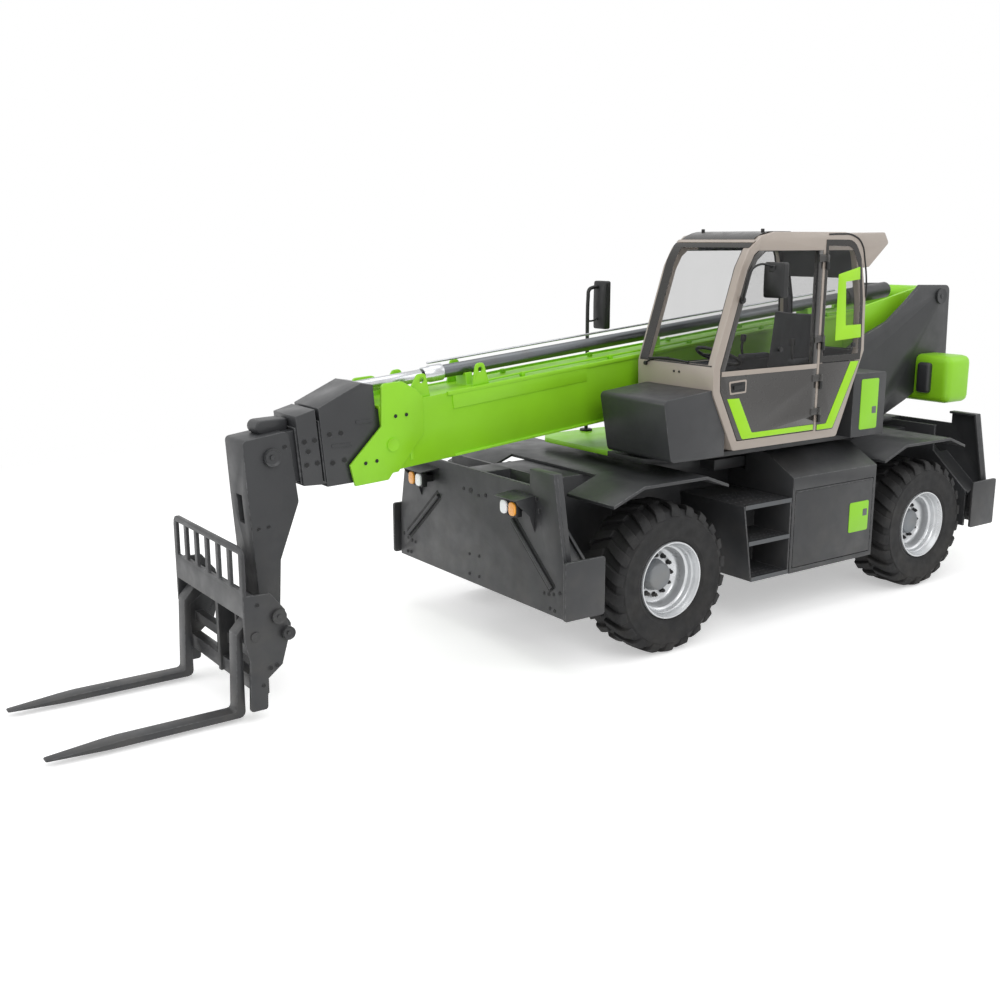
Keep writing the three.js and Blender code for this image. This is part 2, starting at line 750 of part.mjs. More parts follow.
// Cab: one side outline gives the shell, the door and every window in it.
const cabSide = [
  [930, cab.bottom, 30],
  [1160, 1950, 60],
  [1165, 2145],
  [831, cab.top, 380],
  [-425, cab.top, 220],
  [-548, 2600],
  [-570, 2190],
  [-280, cab.bottom, 30],
];
const doorway = { edge: 70, gap: 6, thickness: 50, sill: 2100 };
const pane = { thickness: 6, rebate: 12 };
const frontEdge = cab.post + cab.postHalf;
const rearEdge = cab.post - cab.postHalf;

const sidePrism = (distance, y0, y1) => solidOf(prismAcross(inset(cabSide, distance), y0, y1));
const far = 3000; // beyond the cab on every side
const keep = (solid, ...limits) => solid.intersect(solidOf(box(...limits)));

function cabWindows() {
  const door = keep(
    sidePrism(doorway.edge, cab.left - cab.wall - 10, cab.left + 10),
    frontEdge,
    far,
    -far,
    far,
    0,
    far,
  );
  const quarter = keep(
    sidePrism(doorway.edge, cab.left - cab.wall - 10, cab.left + 10),
    -far,
    rearEdge,
    -far,
    far,
    doorway.sill,
    far,
  );
  const right = keep(
    sidePrism(doorway.edge + 30, cab.right - 10, cab.right + cab.wall + 10),
    -far,
    far,
    -far,
    far,
    doorway.sill,
    far,
  );
  const screen = box(600, far, cab.right + 45, cab.left - doorway.edge, 2165, 3050);
  const rear = box(-far, -380, cab.right + doorway.edge, cab.left - doorway.edge, 2190, 2780);
  return { door, quarter, right, screen, rear };
}

const roof = { front: 590, rear: -330, edge: 80, thickness: 24 };
const windows = cabWindows();

const doorAxis = { x: cab.post, y: cab.left + 18 };
const hingeHeights = [1700, 1970, 2280, 2910];

function cabShell() {
  const outer = sidePrism(0, cab.right, cab.left);
  const hollow = sidePrism(cab.wall, cab.right + cab.wall, cab.left - cab.wall);
  const roofHole = box(
    roof.rear, roof.front, cab.right + roof.edge, cab.left - roof.edge, cab.top - cab.wall - 10,
    cab.top + 10,
  );
  const visorSide = [
    [-290, cab.top - 10],
    [-740, cab.top, 20],
    [-800, cab.top - 85, 20],
    [-565, cab.top - 275],
    [-500, cab.top - 280],
    [-440, cab.top - 180],
  ];
  const visor = prismAcross(visorSide, cab.right, cab.left);
  const hinges = hingeHeights.map((z) => join(
    bar([doorAxis.x, doorAxis.y, z - 60], [doorAxis.x, doorAxis.y, z - 1], 14, 16),
    box(doorAxis.x - 34, doorAxis.x, cab.left - 8, cab.left + 12, z - 60, z - 1),
    bar([doorAxis.x, doorAxis.y, z - 20], [doorAxis.x, doorAxis.y, z + 50], 6, 12),
  ));
  return join(
    cut(
      outer, hollow, windows.door, windows.quarter, windows.right, windows.screen, windows.rear, roofHole,
    ),
    ...hinges,
    cut(visor, sidePrism(5, cab.right - 1, cab.left + 1)),
  );
}

place(turret, "cab_shell", "cabPaint", cabShell());

// A dark panel fills the roof, and panes fill the windows, each with a seat gap all round.
function shrunk(solid, gap) {
  const box3 = solid.boundingBox();
  const size = box3.max.map((high, i) => high - box3.min[i]);
  const middle = box3.max.map((high, i) => (high + box3.min[i]) / 2);
  const geometry = geometryOf(solid).translate(...middle.map((value) => -value));
  return solidOf(geometry.scale(...size.map((length) => (length - 2 * gap) / length)).translate(...middle));
}

const roofBottom = cab.top - cab.wall + 10;
place(
  turret,
  "cab_roof",
  "darkPaint",
  box(
    roof.rear + seatGap,
    roof.front - seatGap,
    cab.right + roof.edge + seatGap,
    cab.left - roof.edge - seatGap,
    roofBottom,
    roofBottom + roof.thickness,
  ),
);

const glassAt = { left: cab.left - pane.rebate - pane.thickness, right: cab.right + pane.rebate };
const sidePane = (window, y) => keep(shrunk(window, seatGap), -far, far, y, y + pane.thickness, 0, far);
place(turret, "left_quarter_window", "glass", sidePane(windows.quarter, glassAt.left));
place(turret, "right_window", "glass", sidePane(windows.right, glassAt.right));

// The windscreen and the rear window follow the cab's outline, a little way in from its outside face.
function bentPane(window) {
  const layer = cut(
    sidePrism(pane.rebate, cab.right, cab.left),
    sidePrism(pane.rebate + pane.thickness, cab.right - 1, cab.left + 1),
  );
  return layer.intersect(shrunk(asSolid(window), seatGap));
}

place(turret, "windscreen", "glass", bentPane(windows.screen));
place(turret, "rear_window", "glass", bentPane(windows.rear));

// Door: hinged on its rear post, with its own window over a solid lower panel.
function doorSolids() {
  const leaf = keep(
    sidePrism(doorway.edge + doorway.gap, cab.left - doorway.thickness, cab.left),
    frontEdge + doorway.gap, far, -far, far, 0, far,
  );
  const opening = keep(
    sidePrism(doorway.edge + doorway.gap + 45, cab.left - 100, cab.left + 100),
    frontEdge + doorway.gap + 45, far, -far, far, doorway.sill, far,
  );
  const barrels = hingeHeights.map((z) => join(
    bar([doorAxis.x, doorAxis.y, z + slideGap], [doorAxis.x, doorAxis.y, z + 58], 14, 16),
    box(doorAxis.x, frontEdge + doorway.gap + 50, cab.left - 8, cab.left + 12, z + slideGap, z + 58),
  ));
  const clear = hingeHeights.flatMap((z) => [
    bar([doorAxis.x, doorAxis.y, z - 20], [doorAxis.x, doorAxis.y, z + 80], 6 + pinGap, 12),
    box(doorAxis.x - 40, frontEdge + doorway.gap, cab.left - 60, cab.left + seatGap, z - 80, z + 80),
  ]);
  const window = keep(
    shrunk(opening, seatGap), -far, far, glassAt.left, glassAt.left + pane.thickness, 0, far,
  );
  return { leaf: cut(join(cut(leaf, opening), ...barrels), ...clear), window };
}

const door = doorSolids();
place(turret, "cab_door", "darkPaint", door.leaf);
place(turret, "door_window", "glass", door.window);

const mirror = { width: 190, height: 260, depth: 70, round: 30 };

function mirrorHead(x, y, z, size = mirror) {
  const corners = [
    [y - size.width / 2, z - size.height / 2, size.round],
    [y + size.width / 2, z - size.height / 2, size.round],
    [y + size.width / 2, z + size.height / 2, size.round],
    [y - size.width / 2, z + size.height / 2, size.round],
  ];
  return prismAlong(corners, x - size.depth / 2, x + size.depth / 2);
}

// The left mirror is carried by the door's front edge, and the right one by a post on the platform.
const leftMirror = { x: 760, y: 1300, z: 2790, footX: 900 };
place(
  turret,
  "left_mirror",
  "plastic",
  join(
    mirrorHead(leftMirror.x, leftMirror.y, leftMirror.z),
    bar([leftMirror.footX, cab.left + 12, 2640], [leftMirror.x, leftMirror.y, 2690], 10, 10),
    bar([leftMirror.footX, cab.left + seatGap, 2640], [leftMirror.footX, cab.left + 14, 2640], 22, 12),
  ),
);

const rightMirror = {
  x: 980, y: -600, z: 2530, back: 140, offset: 20,
  width: 130, height: 350, depth: 70, round: 30,
};
place(
  turret,
  "right_mirror",
  "plastic",
  join(
    bar(
      [rightMirror.x, rightMirror.y, platform.top + seatGap],
      [rightMirror.x, rightMirror.y, rightMirror.z + 160],
      18,
      12,
    ),
    bar(
      [rightMirror.x, rightMirror.y, platform.top + seatGap],
      [rightMirror.x, rightMirror.y, platform.top + 15],
      55,
      16,
    ),
    bar(
      [rightMirror.x, rightMirror.y, rightMirror.z + 100],
      [rightMirror.x - rightMirror.back, rightMirror.y + rightMirror.offset, rightMirror.z + 100],
      10, 10,
    ),
    mirrorHead(
      rightMirror.x - rightMirror.back, rightMirror.y + rightMirror.offset, rightMirror.z, rightMirror,
    ),
  ),
);

const noseBox = { rear: 1010, front: 1650, right: 370, left: 1090, bottom: 1468, top: 1960 };
function frontBox() {
  const side = [
    [noseBox.rear, noseBox.bottom],
    [noseBox.front - 90, noseBox.bottom, 40],
    [noseBox.front, noseBox.top - 25, 35],
    [noseBox.rear, noseBox.top + 35],
  ];
  const feet = box(1180, 1430, 450, 750, platform.top + seatGap, noseBox.bottom + 5);
  const body = cut(
    prismAcross(side, noseBox.right, noseBox.left),
    sidePrism(-seatGap - 5, cab.right - 50, cab.left + 50),
  );
  return join(body, feet);
}
place(turret, "front_box", "darkPaint", frontBox());

const locker = { rear: -1030, front: -600, right: 400, left: 1000, top: 1980 };
place(
  turret,
  "rear_locker",
  "darkPaint",
  prismAcross(
    [
      [locker.rear, platform.top + seatGap], [locker.front, platform.top + seatGap],
      [locker.front, locker.top, 30], [locker.rear, locker.top, 30],
    ],
    locker.right,
    locker.left,
  ),
);

const seat = { middleY: 690, width: 480, rear: -230, front: 270, pan: 1880, cushion: 120, backTop: 2560 };
function driverSeat() {
  const half = seat.width / 2;
  const pedestal = box(
    seat.rear + 60, seat.front - 80, seat.middleY - 170, seat.middleY + 170,
    cab.bottom + cab.floor + seatGap, seat.pan + 5,
  );
  const side = [
    [seat.rear + 60, seat.pan],
    [seat.front, seat.pan, 30],
    [seat.front, seat.pan + seat.cushion, 50],
    [seat.rear + 130, seat.pan + seat.cushion],
    [seat.rear + 30, seat.backTop, 40],
    [seat.rear - 70, seat.backTop, 40],
  ];
  return join(pedestal, prismAcross(side, seat.middleY - half, seat.middleY + half));
}
place(turret, "driver_seat", "plastic", driverSeat());

const steering = { x: 700, z: 2180, wheel: 180, grip: 15, lean: THREE.MathUtils.degToRad(25) };
function steeringColumn() {
  const floor = cab.bottom + cab.floor + seatGap;
  const ring = new THREE.TorusGeometry(steering.wheel, steering.grip, 6, 16);
  ring.rotateY(-steering.lean).translate(steering.x, seat.middleY, steering.z);
  const hub = [steering.x, seat.middleY, steering.z];
  const tall = box(steering.x + 70, steering.x + 190, seat.middleY - 90, seat.middleY + 90, floor, 1950);
  const spokes = [
    -1, 1,
  ].map((side) => bar(hub, [steering.x, seat.middleY + side * steering.wheel, steering.z], 12, 8));
  return join(ring, ...spokes, bar(hub, [steering.x + 130, seat.middleY, 1930], 28, 12), tall);
}
place(turret, "steering_column", "plastic", steeringColumn());

// ---- Boom, in its own tilted group: X along the boom and Z across it, from the pivot pin ----

const boom = new THREE.Group();
boom.position.set(boomPivot.x, 0, boomPivot.z);
boom.rotation.y = boomSlope;
turret.add(boom);

// A shape given upright where it stands at rest, turned into the boom's own frame.
function inBoom(geometry) {
  return geometry.translate(-boomPivot.x, 0, -boomPivot.z).rotateY(-boomSlope);
}

function tube(width, height, x0, x1, middle = boomTube.axis) {
  return box(x0, x1, boomY - width / 2, boomY + width / 2, middle - height / 2, middle + height / 2);
}

// The telescoping tubes, from the outside in. Each head is the collar that its neighbour slides in.
const extension = { rear: 950, collar: 150 };
const tubes = [
  boomTube,
  { width: 350, height: 430, wall: 15, rear: extension.rear, front: boomTube.front + 470 },
  { width: 310, height: 390, wall: 13, rear: extension.rear + 60, front: boomTube.front + 640 },
  { width: 274, height: 354, wall: 12, rear: extension.rear + 120, front: boomTube.front + 770 },
];

function hollowTube(stage) {
  const { width, height, wall, rear, front } = tubes[stage];
  const next = tubes[stage + 1];
  const body = tube(width, height, rear, front);
  const inside = tube(width - 2 * wall, height - 2 * wall, rear - 10, front - extension.collar);
  if (!next) return cut(body, inside);
  return cut(
    body,
    inside,
    tube(next.width + 2 * slideGap, next.height + 2 * slideGap, front - extension.collar - 1, front + 10),
  );
}

const topCylinder = { x0: 850, x1: boomTube.front - 490, z: 92, radius: 50, bore: 36, rod: 30, head: 45 };
const boomTop = boomTube.axis + boomTube.height / 2;
const boomUnder = boomTube.axis - boomTube.height / 2;

// An outline whose first figures are measured from x.
const aheadOf = (x, corners) => corners.map(([ahead, ...rest]) => [x + ahead, ...rest]);

function outerBoom() {
  const half = boomTube.width / 2;
  const ear = [
    [-30, 95, 60], [90, 95, 60], [900, boomTop + 40], [900, boomUnder + 60],
    [boomTube.rear, boomUnder + 60], [-95, -60, 60],
  ];
  const ears = [boomY - half, boomY + half - 32].map((y) => prismAcross(ear, y, y + 32));
  const boss = barAcross(
    0, 0, boomY - plate.inner + runGap, boomY + plate.inner - runGap, boomPivot.boss, 16,
  );
  const headSide = [
    [-351, -20],
    [-300, 40, 30],
    [-190, 118, 40],
    [-26, 124, 30],
    [-7, -28],
    [9, -174],
    [285, -400],
    [262, -553],
    [-5, -562, 20],
    [-45, boomUnder - 10],
    [-92, boomUnder - 10],
    [-331, -281],
  ];
  const headPlates = [
    boomY - half - 22, boomY + half - 2,
  ].map((y) => prismAcross(aheadOf(boomTube.front, headSide), y, y + 24));
  const saddlePitch = (topCylinder.x1 - topCylinder.x0) / 2.55;
  const saddles = [0, 1, 2].map((i) => {
    const x = topCylinder.x0 + 650 + saddlePitch * i;
    return box(x, x + 60, boomY - 70, boomY + 70, boomTop - 5, topCylinder.z - 30);
  });
  const bracketAt = inBoomPoint(lift.eye);
  const bracket = [
    [bracketAt.x - 190, boomUnder + 10],
    [bracketAt.x + 190, boomUnder + 10],
    [bracketAt.x + 60, bracketAt.z - 60, 50],
    [bracketAt.x - 60, bracketAt.z - 60, 50],
  ];
  const brackets = [
    -1, 1,
  ].map((side) => prismAcross(bracket, boomY + side * 95 - 12, boomY + side * 95 + 12));
  const cylinderHole = bar(
    [0, boomY, topCylinder.z],
    [boomTube.front + 800, boomY, topCylinder.z],
    topCylinder.radius + seatGap,
    16,
  );
  return cut(
    join(cut(join(...ears, hollowTube(0), ...headPlates, ...saddles), cylinderHole), boss, ...brackets),
    barAcross(0, 0, boomY - 500, boomY + 500, boomPivot.pin + pinGap, 24),
  );
}

function inBoomPoint({ x, z }) {
  const from = new THREE.Vector2(
    x - boomPivot.x, z - boomPivot.z,
  ).rotateAround(new THREE.Vector2(), boomSlope);
  return { x: from.x, z: from.y };
}

place(boom, "boom_outer_section", "greenPaint", outerBoom());

place(
  boom,
  "extension_cylinder",
  "steel",
  cut(
    join(
      bar(
        [topCylinder.x0, boomY, topCylinder.z], [topCylinder.x1, boomY, topCylinder.z], topCylinder.radius,
        16,
      ),
      bar(
        [topCylinder.x0 - 250, boomY, topCylinder.z],
        [topCylinder.x0 + 30, boomY, topCylinder.z],
        topCylinder.head,
        16,
      ),
    ),
    bar(
      [topCylinder.x0 + 60, boomY, topCylinder.z],
      [topCylinder.x1 - 80, boomY, topCylinder.z],
      topCylinder.bore,
      16,
    ),
    bar(
      [topCylinder.x1 - 100, boomY, topCylinder.z],
      [topCylinder.x1 + 10, boomY, topCylinder.z],
      topCylinder.rod + pinGap,
      16,
    ),
  ),
);

function sectionTwo() {
  const own = tubes[1];
  const head = [[-445, 125], [-350, 150], [-10, 36], [-10, -520], [-445, -545]];
  const block = prismAcross(aheadOf(own.front, head), boomY - 188, boomY + 188);
  const core = tube(own.width - 2, own.height - 2, own.front - 660, own.front + 50);
  const rod = bar(
    [1000, boomY, topCylinder.z], [own.front - 360, boomY, topCylinder.z], topCylinder.rod, 16,
  );
  return join(hollowTube(1), cut(block, core), rod);
}

function sectionThree() {
  const own = tubes[2];
  const head = [[-158, 30], [-10, 5], [-10, -480], [-158, -500]];
  const block = prismAcross(aheadOf(own.front, head), boomY - 176, boomY + 176);
  const core = tube(own.width - 2, own.height - 2, own.front - 830, own.front + 50);
  return join(hollowTube(2), cut(block, core));
}

place(boom, "boom_section_2", "darkPaint", sectionTwo());
place(boom, "boom_section_3", "darkPaint", sectionThree());

// Neck: the innermost tube bends down to the carriage hinge.
const noseX = Math.round(boomPivot.x + tubes[3].front * Math.cos(boomSlope));
const hinge = { x: noseX + 85, z: 580, pin: 35 };
const neckHalf = 150;

function gooseneck() {
  const side = [
    [-180, 1825, 40],
    [152, 1782, 30],
    [130, 1390],
    [100, 970],
    [75, hinge.z + 40],
    [70, 500, 60],
    [-65, 500, 60],
    [-90, 940],
    [-240, 1330, 60],
  ];
  const body = prismAcross(aheadOf(hinge.x, side), boomY - neckHalf, boomY + neckHalf);
  const pocket = box(hinge.x + 70, hinge.x + 270, boomY - 45, boomY + 45, 1200, 1400);
  const bore = barAcross(hinge.x, hinge.z, -1000, 1000, hinge.pin + pinGap, 16);
  const upright = [body, pocket, bore].map(inBoom);
  return cut(join(hollowTube(3), upright[0]), upright[1], upright[2]);
}

place(boom, "gooseneck", "darkPaint", gooseneck());

// ---- Lift cylinder, under the boom ----

const liftAngle = Math.atan2(lift.eye.z - lift.foot.z, lift.eye.x - lift.foot.x);
const liftLength = Math.hypot(lift.eye.z - lift.foot.z, lift.eye.x - lift.foot.x);
const liftGroup = new THREE.Group();
liftGroup.position.set(lift.foot.x, boomY, lift.foot.z);
liftGroup.rotation.y = -liftAngle;
turret.add(liftGroup);

const alongX = (from, to, radius) => bar([from, 0, 0], [to, 0, 0], radius, 16);

place(
  liftGroup,
  "lift_cylinder_barrel",
  "darkPaint",
  cut(
    join(alongX(40, lift.barrelLength, lift.barrel), barAcross(0, 0, -60, 60, 82, 16)),
    alongX(150, lift.barrelLength - 100, lift.bore),
    alongX(lift.barrelLength - 120, lift.barrelLength + 10, lift.rod + pinGap),
    barAcross(0, 0, -100, 100, lift.pin + pinGap, 24),
  ),
);
place(
  liftGroup,
  "lift_cylinder_rod",
  "steel",
  cut(
    join(alongX(200, liftLength - 40, lift.rod), barAcross(liftLength, 0, -70, 70, 62, 16)),
    barAcross(liftLength, 0, -100, 100, 35, 16),
  ),
);

// ---- Fork carriage ----

// Here X is measured from the hinge pin, and Z still from the ground.
const carriageGroup = new THREE.Group();
carriageGroup.position.x = hinge.x;
turret.add(carriageGroup);

const fork = { spacing: 920, width: 120, thickness: 45, bottom: 32, back: 370, tip: 1630, eye: 56 };
const carriage = {
  half: fork.spacing / 2 + 140,
  face: 385,
  shaft: { x: 242, z: 700, radius: 28 },
  bottom: 85,
  rail: [722, 870],
  lowRail: [190, 290],
  top: 1185,
  plate: 25,
};

function forkCarriage() {
  const { half, face, shaft } = carriage;
  const cheekSide = [
    [face, carriage.rail[1]],
    [face, 560],
    [face - 30, 430],
    [face - 18, carriage.bottom, 20],
    [245, carriage.bottom, 20],
    [238, 290],
    [132, 372],
    [72, 575, 50],
    [100, 740],
    [200, carriage.rail[1] - 5],
  ];
  const cheeks = [
    boomY - half, boomY + half - carriage.plate,
  ].map((y) => prismAcross(cheekSide, y, y + carriage.plate));
  const across = (x0, x1, z0, z1) => box(x0, x1, boomY - half + 5, boomY + half - 5, z0, z1);
  const rails = [
    across(310, face, ...carriage.rail), across(230, 310, ...carriage.lowRail), across(210, 270, 380, 450),
  ];
  const shaftBar = barAcross(shaft.x, shaft.z, boomY - half + 5, boomY + half - 5, shaft.radius, 16);
  const spine = prismAcross(
    [[330, 860], [330, 190], [230, 190], [150, 420], [190, 760]],
    boomY - 20,
    boomY + 20,
  );
  const lug = [
    [-10, hinge.z + 85, 60], [270, 640], [270, 230], [150, 250], [-90, 400, 50], [-140, 480, 50],
  ];
  const lugAt = neckHalf + runGap;
  const lugs = [boomY - lugAt - 28, boomY + lugAt].map((y) => prismAcross(lug, y, y + 28));
  const hingePin = barAcross(0, hinge.z, boomY - lugAt - 60, boomY + lugAt + 60, hinge.pin, 16);
  const slots = 6;
  const pitch = (2 * half - 60) / slots;
  const backrest = [
    [boomY - half, carriage.rail[1] - 10],
    [boomY + half, carriage.rail[1] - 10],
    [boomY + half, carriage.top, 70],
    [boomY - half, carriage.top, 70],
  ];
  const frameBars = prismAlong(backrest, face - carriage.plate, face);
  const gaps = Array.from({ length: slots }, (_, i) => {
    const y = boomY - half + 30 + pitch * i + 22;
    return box(face - 50, face + 50, y, y + pitch - 44, carriage.rail[1] + 30, carriage.top - 45);
  });
  return join(cut(frameBars, ...gaps), ...cheeks, ...rails, shaftBar, spine, ...lugs, hingePin);
}

place(carriageGroup, "fork_carriage", "darkPaint", forkCarriage());

function forkBody(y) {
  const { back, bottom, thickness, tip, eye } = fork;
  const { shaft } = carriage;
  const side = [
    [back, bottom, 40],
    [tip - 450, bottom],
    [tip, bottom + 8],
    [tip, bottom + 18],
    [tip - 450, bottom + thickness],
    [back + thickness + 15, bottom + thickness, 25],
    [back + thickness - 5, 600],
    [shaft.x + 20, shaft.z + eye],
    [shaft.x - 10, shaft.z - 45],
    [back, 560],
  ];
  const plan = [
    [-far, y - fork.width / 2],
    [tip - 350, y - fork.width / 2],
    [tip, y - 35, 15],
    [tip, y + 35, 15],
    [tip - 350, y + fork.width / 2],
    [-far, y + fork.width / 2],
  ];
  const blank = prismAcross(side, y - fork.width / 2, y + fork.width / 2);
  const ring = barAcross(shaft.x, shaft.z, y - 40, y + 40, eye, 16);
  const shaped = join(asSolid(blank).intersect(asSolid(prismUp(plan, 0, 1500))), ring);
  return cut(shaped, barAcross(shaft.x, shaft.z, y - 200, y + 200, shaft.radius + pinGap, 16));
}

place(carriageGroup, "left_fork", "darkPaint", forkBody(boomY + fork.spacing / 2));
place(carriageGroup, "right_fork", "darkPaint", forkBody(boomY - fork.spacing / 2));

// ---- The machine's box is centred on the origin, and it stands on Z = 0 ----

const bounds = new THREE.Box3().setFromObject(machine, true);
const middle = bounds.getCenter(new THREE.Vector3());
machine.position.set(-middle.x, -middle.y, -bounds.min.z);

export default machine;
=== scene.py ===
import json
import math

import bmesh
import bpy
from mathutils import Matrix, Vector


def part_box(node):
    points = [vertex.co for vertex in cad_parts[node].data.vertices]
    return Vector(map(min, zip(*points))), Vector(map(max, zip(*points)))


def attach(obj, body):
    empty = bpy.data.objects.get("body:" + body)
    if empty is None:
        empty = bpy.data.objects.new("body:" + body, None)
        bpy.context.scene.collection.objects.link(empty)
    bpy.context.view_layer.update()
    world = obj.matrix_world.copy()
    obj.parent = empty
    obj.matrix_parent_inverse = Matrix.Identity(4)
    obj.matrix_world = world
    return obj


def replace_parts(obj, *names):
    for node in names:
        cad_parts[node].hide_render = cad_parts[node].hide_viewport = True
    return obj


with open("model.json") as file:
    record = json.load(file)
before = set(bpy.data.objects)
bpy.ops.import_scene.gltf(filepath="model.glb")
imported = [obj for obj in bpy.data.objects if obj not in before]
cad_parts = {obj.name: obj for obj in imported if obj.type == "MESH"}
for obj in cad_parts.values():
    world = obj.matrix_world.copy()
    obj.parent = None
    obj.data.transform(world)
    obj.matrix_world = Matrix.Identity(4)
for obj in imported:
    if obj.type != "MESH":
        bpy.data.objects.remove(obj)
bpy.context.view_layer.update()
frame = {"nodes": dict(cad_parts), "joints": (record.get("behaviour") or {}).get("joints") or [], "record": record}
nodes = frame["nodes"]
joints = {joint["name"]: joint for joint in frame["joints"]}
slewTop = 1.4
slewSpot = joints["slew"]["pos_m"]
print("frame loaded:", len(nodes), "nodes")


def at(x, y, z):
    return (x + slewSpot[0], y + slewSpot[1], z + slewSpot[2] - slewTop)


# Modelling helpers.


def deselect():
    if bpy.context.object and bpy.context.mode != "OBJECT":
        bpy.ops.object.mode_set(mode="OBJECT")
    bpy.ops.object.select_all(action="DESELECT")


def pick(piece):
    deselect()
    piece.hide_viewport = False
    piece.select_set(True)
    bpy.context.view_layer.objects.active = piece


def editAll(piece):
    pick(piece)
    bpy.ops.object.mode_set(mode="EDIT")
    bpy.ops.mesh.select_all(action="SELECT")


def leaveEdit():
    bpy.ops.object.mode_set(mode="OBJECT")


def justAdded(name):
    piece = bpy.context.object
    piece.name = name
    bpy.ops.object.transform_apply(location=True, rotation=True, scale=True)
    return piece


def startBlock(name, low, high):
    deselect()
    middle = [(a + b) / 2 for a, b in zip(low, high)]
    size = [abs(b - a) for a, b in zip(low, high)]
    bpy.ops.mesh.primitive_cube_add(size=1, location=middle, scale=size)
    return justAdded(name)


def startBar(name, start, end, radius, sides=24):
    deselect()
    way = Vector(end) - Vector(start)
    bpy.ops.mesh.primitive_cylinder_add(
        vertices=sides,
        radius=radius,
        depth=way.length,
        location=(Vector(start) + Vector(end)) / 2,
        rotation=way.to_track_quat("Z", "Y").to_euler(),
    )
    return justAdded(name)


def roundedOutline(corners, steps=4):
    points = []
    for i, corner in enumerate(corners):
        spot = Vector(corner[:2])
        radius = corner[2] if len(corner) > 2 else 0
        if not radius:
            points.append(spot)
            continue
        back = (Vector(corners[i - 1][:2]) - spot).normalized()
        on = (Vector(corners[(i + 1) % len(corners)][:2]) - spot).normalized()
        half = back.angle(on) / 2
        centre = spot + (back + on).normalized() * radius / math.sin(half)
        first = spot + back * radius / math.tan(half) - centre
        last = spot + on * radius / math.tan(half) - centre
        sweep = first.angle_signed(last)
        for step in range(steps + 1):
            angle = -sweep * step / steps
            turned = Matrix.Rotation(angle, 2) @ first
            points.append(centre + turned)
    return points


# A flat plate from an outline. Axis is the way it faces: x takes (y, z), y takes (x, z), z takes (x, y).
def startPlate(name, corners, axis, place, thickness):
    deselect()
    points = roundedOutline(corners)
    bpy.ops.mesh.primitive_circle_add(vertices=len(points), radius=1, fill_type="NGON")
    plate = bpy.context.object
    plate.name = name
    for vertex, (a, b) in zip(plate.data.vertices, points):
        vertex.co = {"x": (place, a, b), "y": (a, place, b), "z": (a, b, place)}[axis]
    editAll(plate)
    push = {"x": (thickness, 0, 0), "y": (0, thickness, 0), "z": (0, 0, thickness)}[axis]
    bpy.ops.mesh.extrude_region_move(TRANSFORM_OT_translate={"value": push})
    bpy.ops.mesh.select_all(action="SELECT")
    bpy.ops.mesh.normals_make_consistent(inside=False)
    leaveEdit()
    return plate


# A solid of revolution about the Y axis through a spot, from (radius, y) points.
def startTurned(name, profile, spot, steps=64, closed=False):
    deselect()
    bpy.ops.mesh.primitive_circle_add(vertices=len(profile), radius=1, fill_type="NOTHING")
    piece = bpy.context.object
    piece.name = name
    for vertex, (radius, y) in zip(piece.data.vertices, profile):
        vertex.co = (spot[0] + radius, spot[1] + y, spot[2])
    editAll(piece)
    bpy.ops.mesh.spin(steps=steps, angle=2 * math.pi, center=spot, axis=(0, 1, 0))
    bpy.ops.mesh.select_all(action="SELECT")
    bpy.ops.mesh.remove_doubles(threshold=0.00002)
    bpy.ops.mesh.normals_make_consistent(inside=False)
    leaveEdit()
    return piece


def tubeAlong(name, points, radius, cyclic=False, sides=4):
    deselect()
    bpy.ops.curve.primitive_nurbs_path_add()
    path = bpy.context.object
    path.name = name
    spline = path.data.splines[0]
    path.data.splines.remove(spline)
    spline = path.data.splines.new("BEZIER")
    spline.bezier_points.add(len(points) - 1)
    for knot, point in zip(spline.bezier_points, points):
        knot.co = point
        knot.handle_left_type = knot.handle_right_type = "AUTO"
    spline.use_cyclic_u = cyclic
    path.data.bevel_depth = radius
    path.data.bevel_resolution = sides
    path.data.resolution_u = 8
    path.data.use_fill_caps = True
    path.location = (0, 0, 0)
    pick(path)
    bpy.ops.object.convert(target="MESH")
    bpy.ops.object.transform_apply(location=True, rotation=True, scale=True)
    return path


def applyModifier(piece, kind, **settings):
    pick(piece)
    bpy.ops.object.modifier_add(type=kind)
    modifier = piece.modifiers[-1]
    for key, value in settings.items():
        setattr(modifier, key, value)
    bpy.ops.object.modifier_apply(modifier=modifier.name)


def roundEdges(piece, width, segments=2, angle=35):
    applyModifier(
        piece,
        "BEVEL",
        width=width,
        segments=segments,
        limit_method="ANGLE",
        angle_limit=math.radians(angle),
        use_clamp_overlap=segments > 1,
        harden_normals=False,
    )
    pick(piece)
    bpy.ops.object.shade_smooth_by_angle(angle=math.radians(angle))


def cutAway(piece, *cutters):
    for cutter in cutters:
        applyModifier(piece, "BOOLEAN", operation="DIFFERENCE", object=cutter, solver="EXACT")
        bpy.data.objects.remove(cutter)


def joined(name, pieces):
    deselect()
    for piece in pieces:
        piece.select_set(True)
    bpy.context.view_layer.objects.active = pieces[0]
    if len(pieces) > 1:
        bpy.ops.object.join()
    pieces[0].name = name
    return pieces[0]


def copied(piece, name, matrix=Matrix()):
    twin = piece.copy()
    twin.data = piece.data.copy()
    twin.name = name
    bpy.context.scene.collection.objects.link(twin)
    twin.data.transform(matrix)
    if matrix.determinant() < 0:
        twin.data.flip_normals()
    return twin


def mirrorAcross(y):
    return Matrix.Translation((0, 2 * y, 0)) @ Matrix.Scale(-1, 4, (0, 1, 0))


# Hands a piece over, with its body, finish and the nodes it replaces; its slot name is not used.
def hand(piece, body, material, *replaced, slotName=None):
    piece.data.materials.clear()
    piece.data.materials.append(material)
    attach(piece, body)
    if replaced:
        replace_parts(piece, *replaced)
    return piece


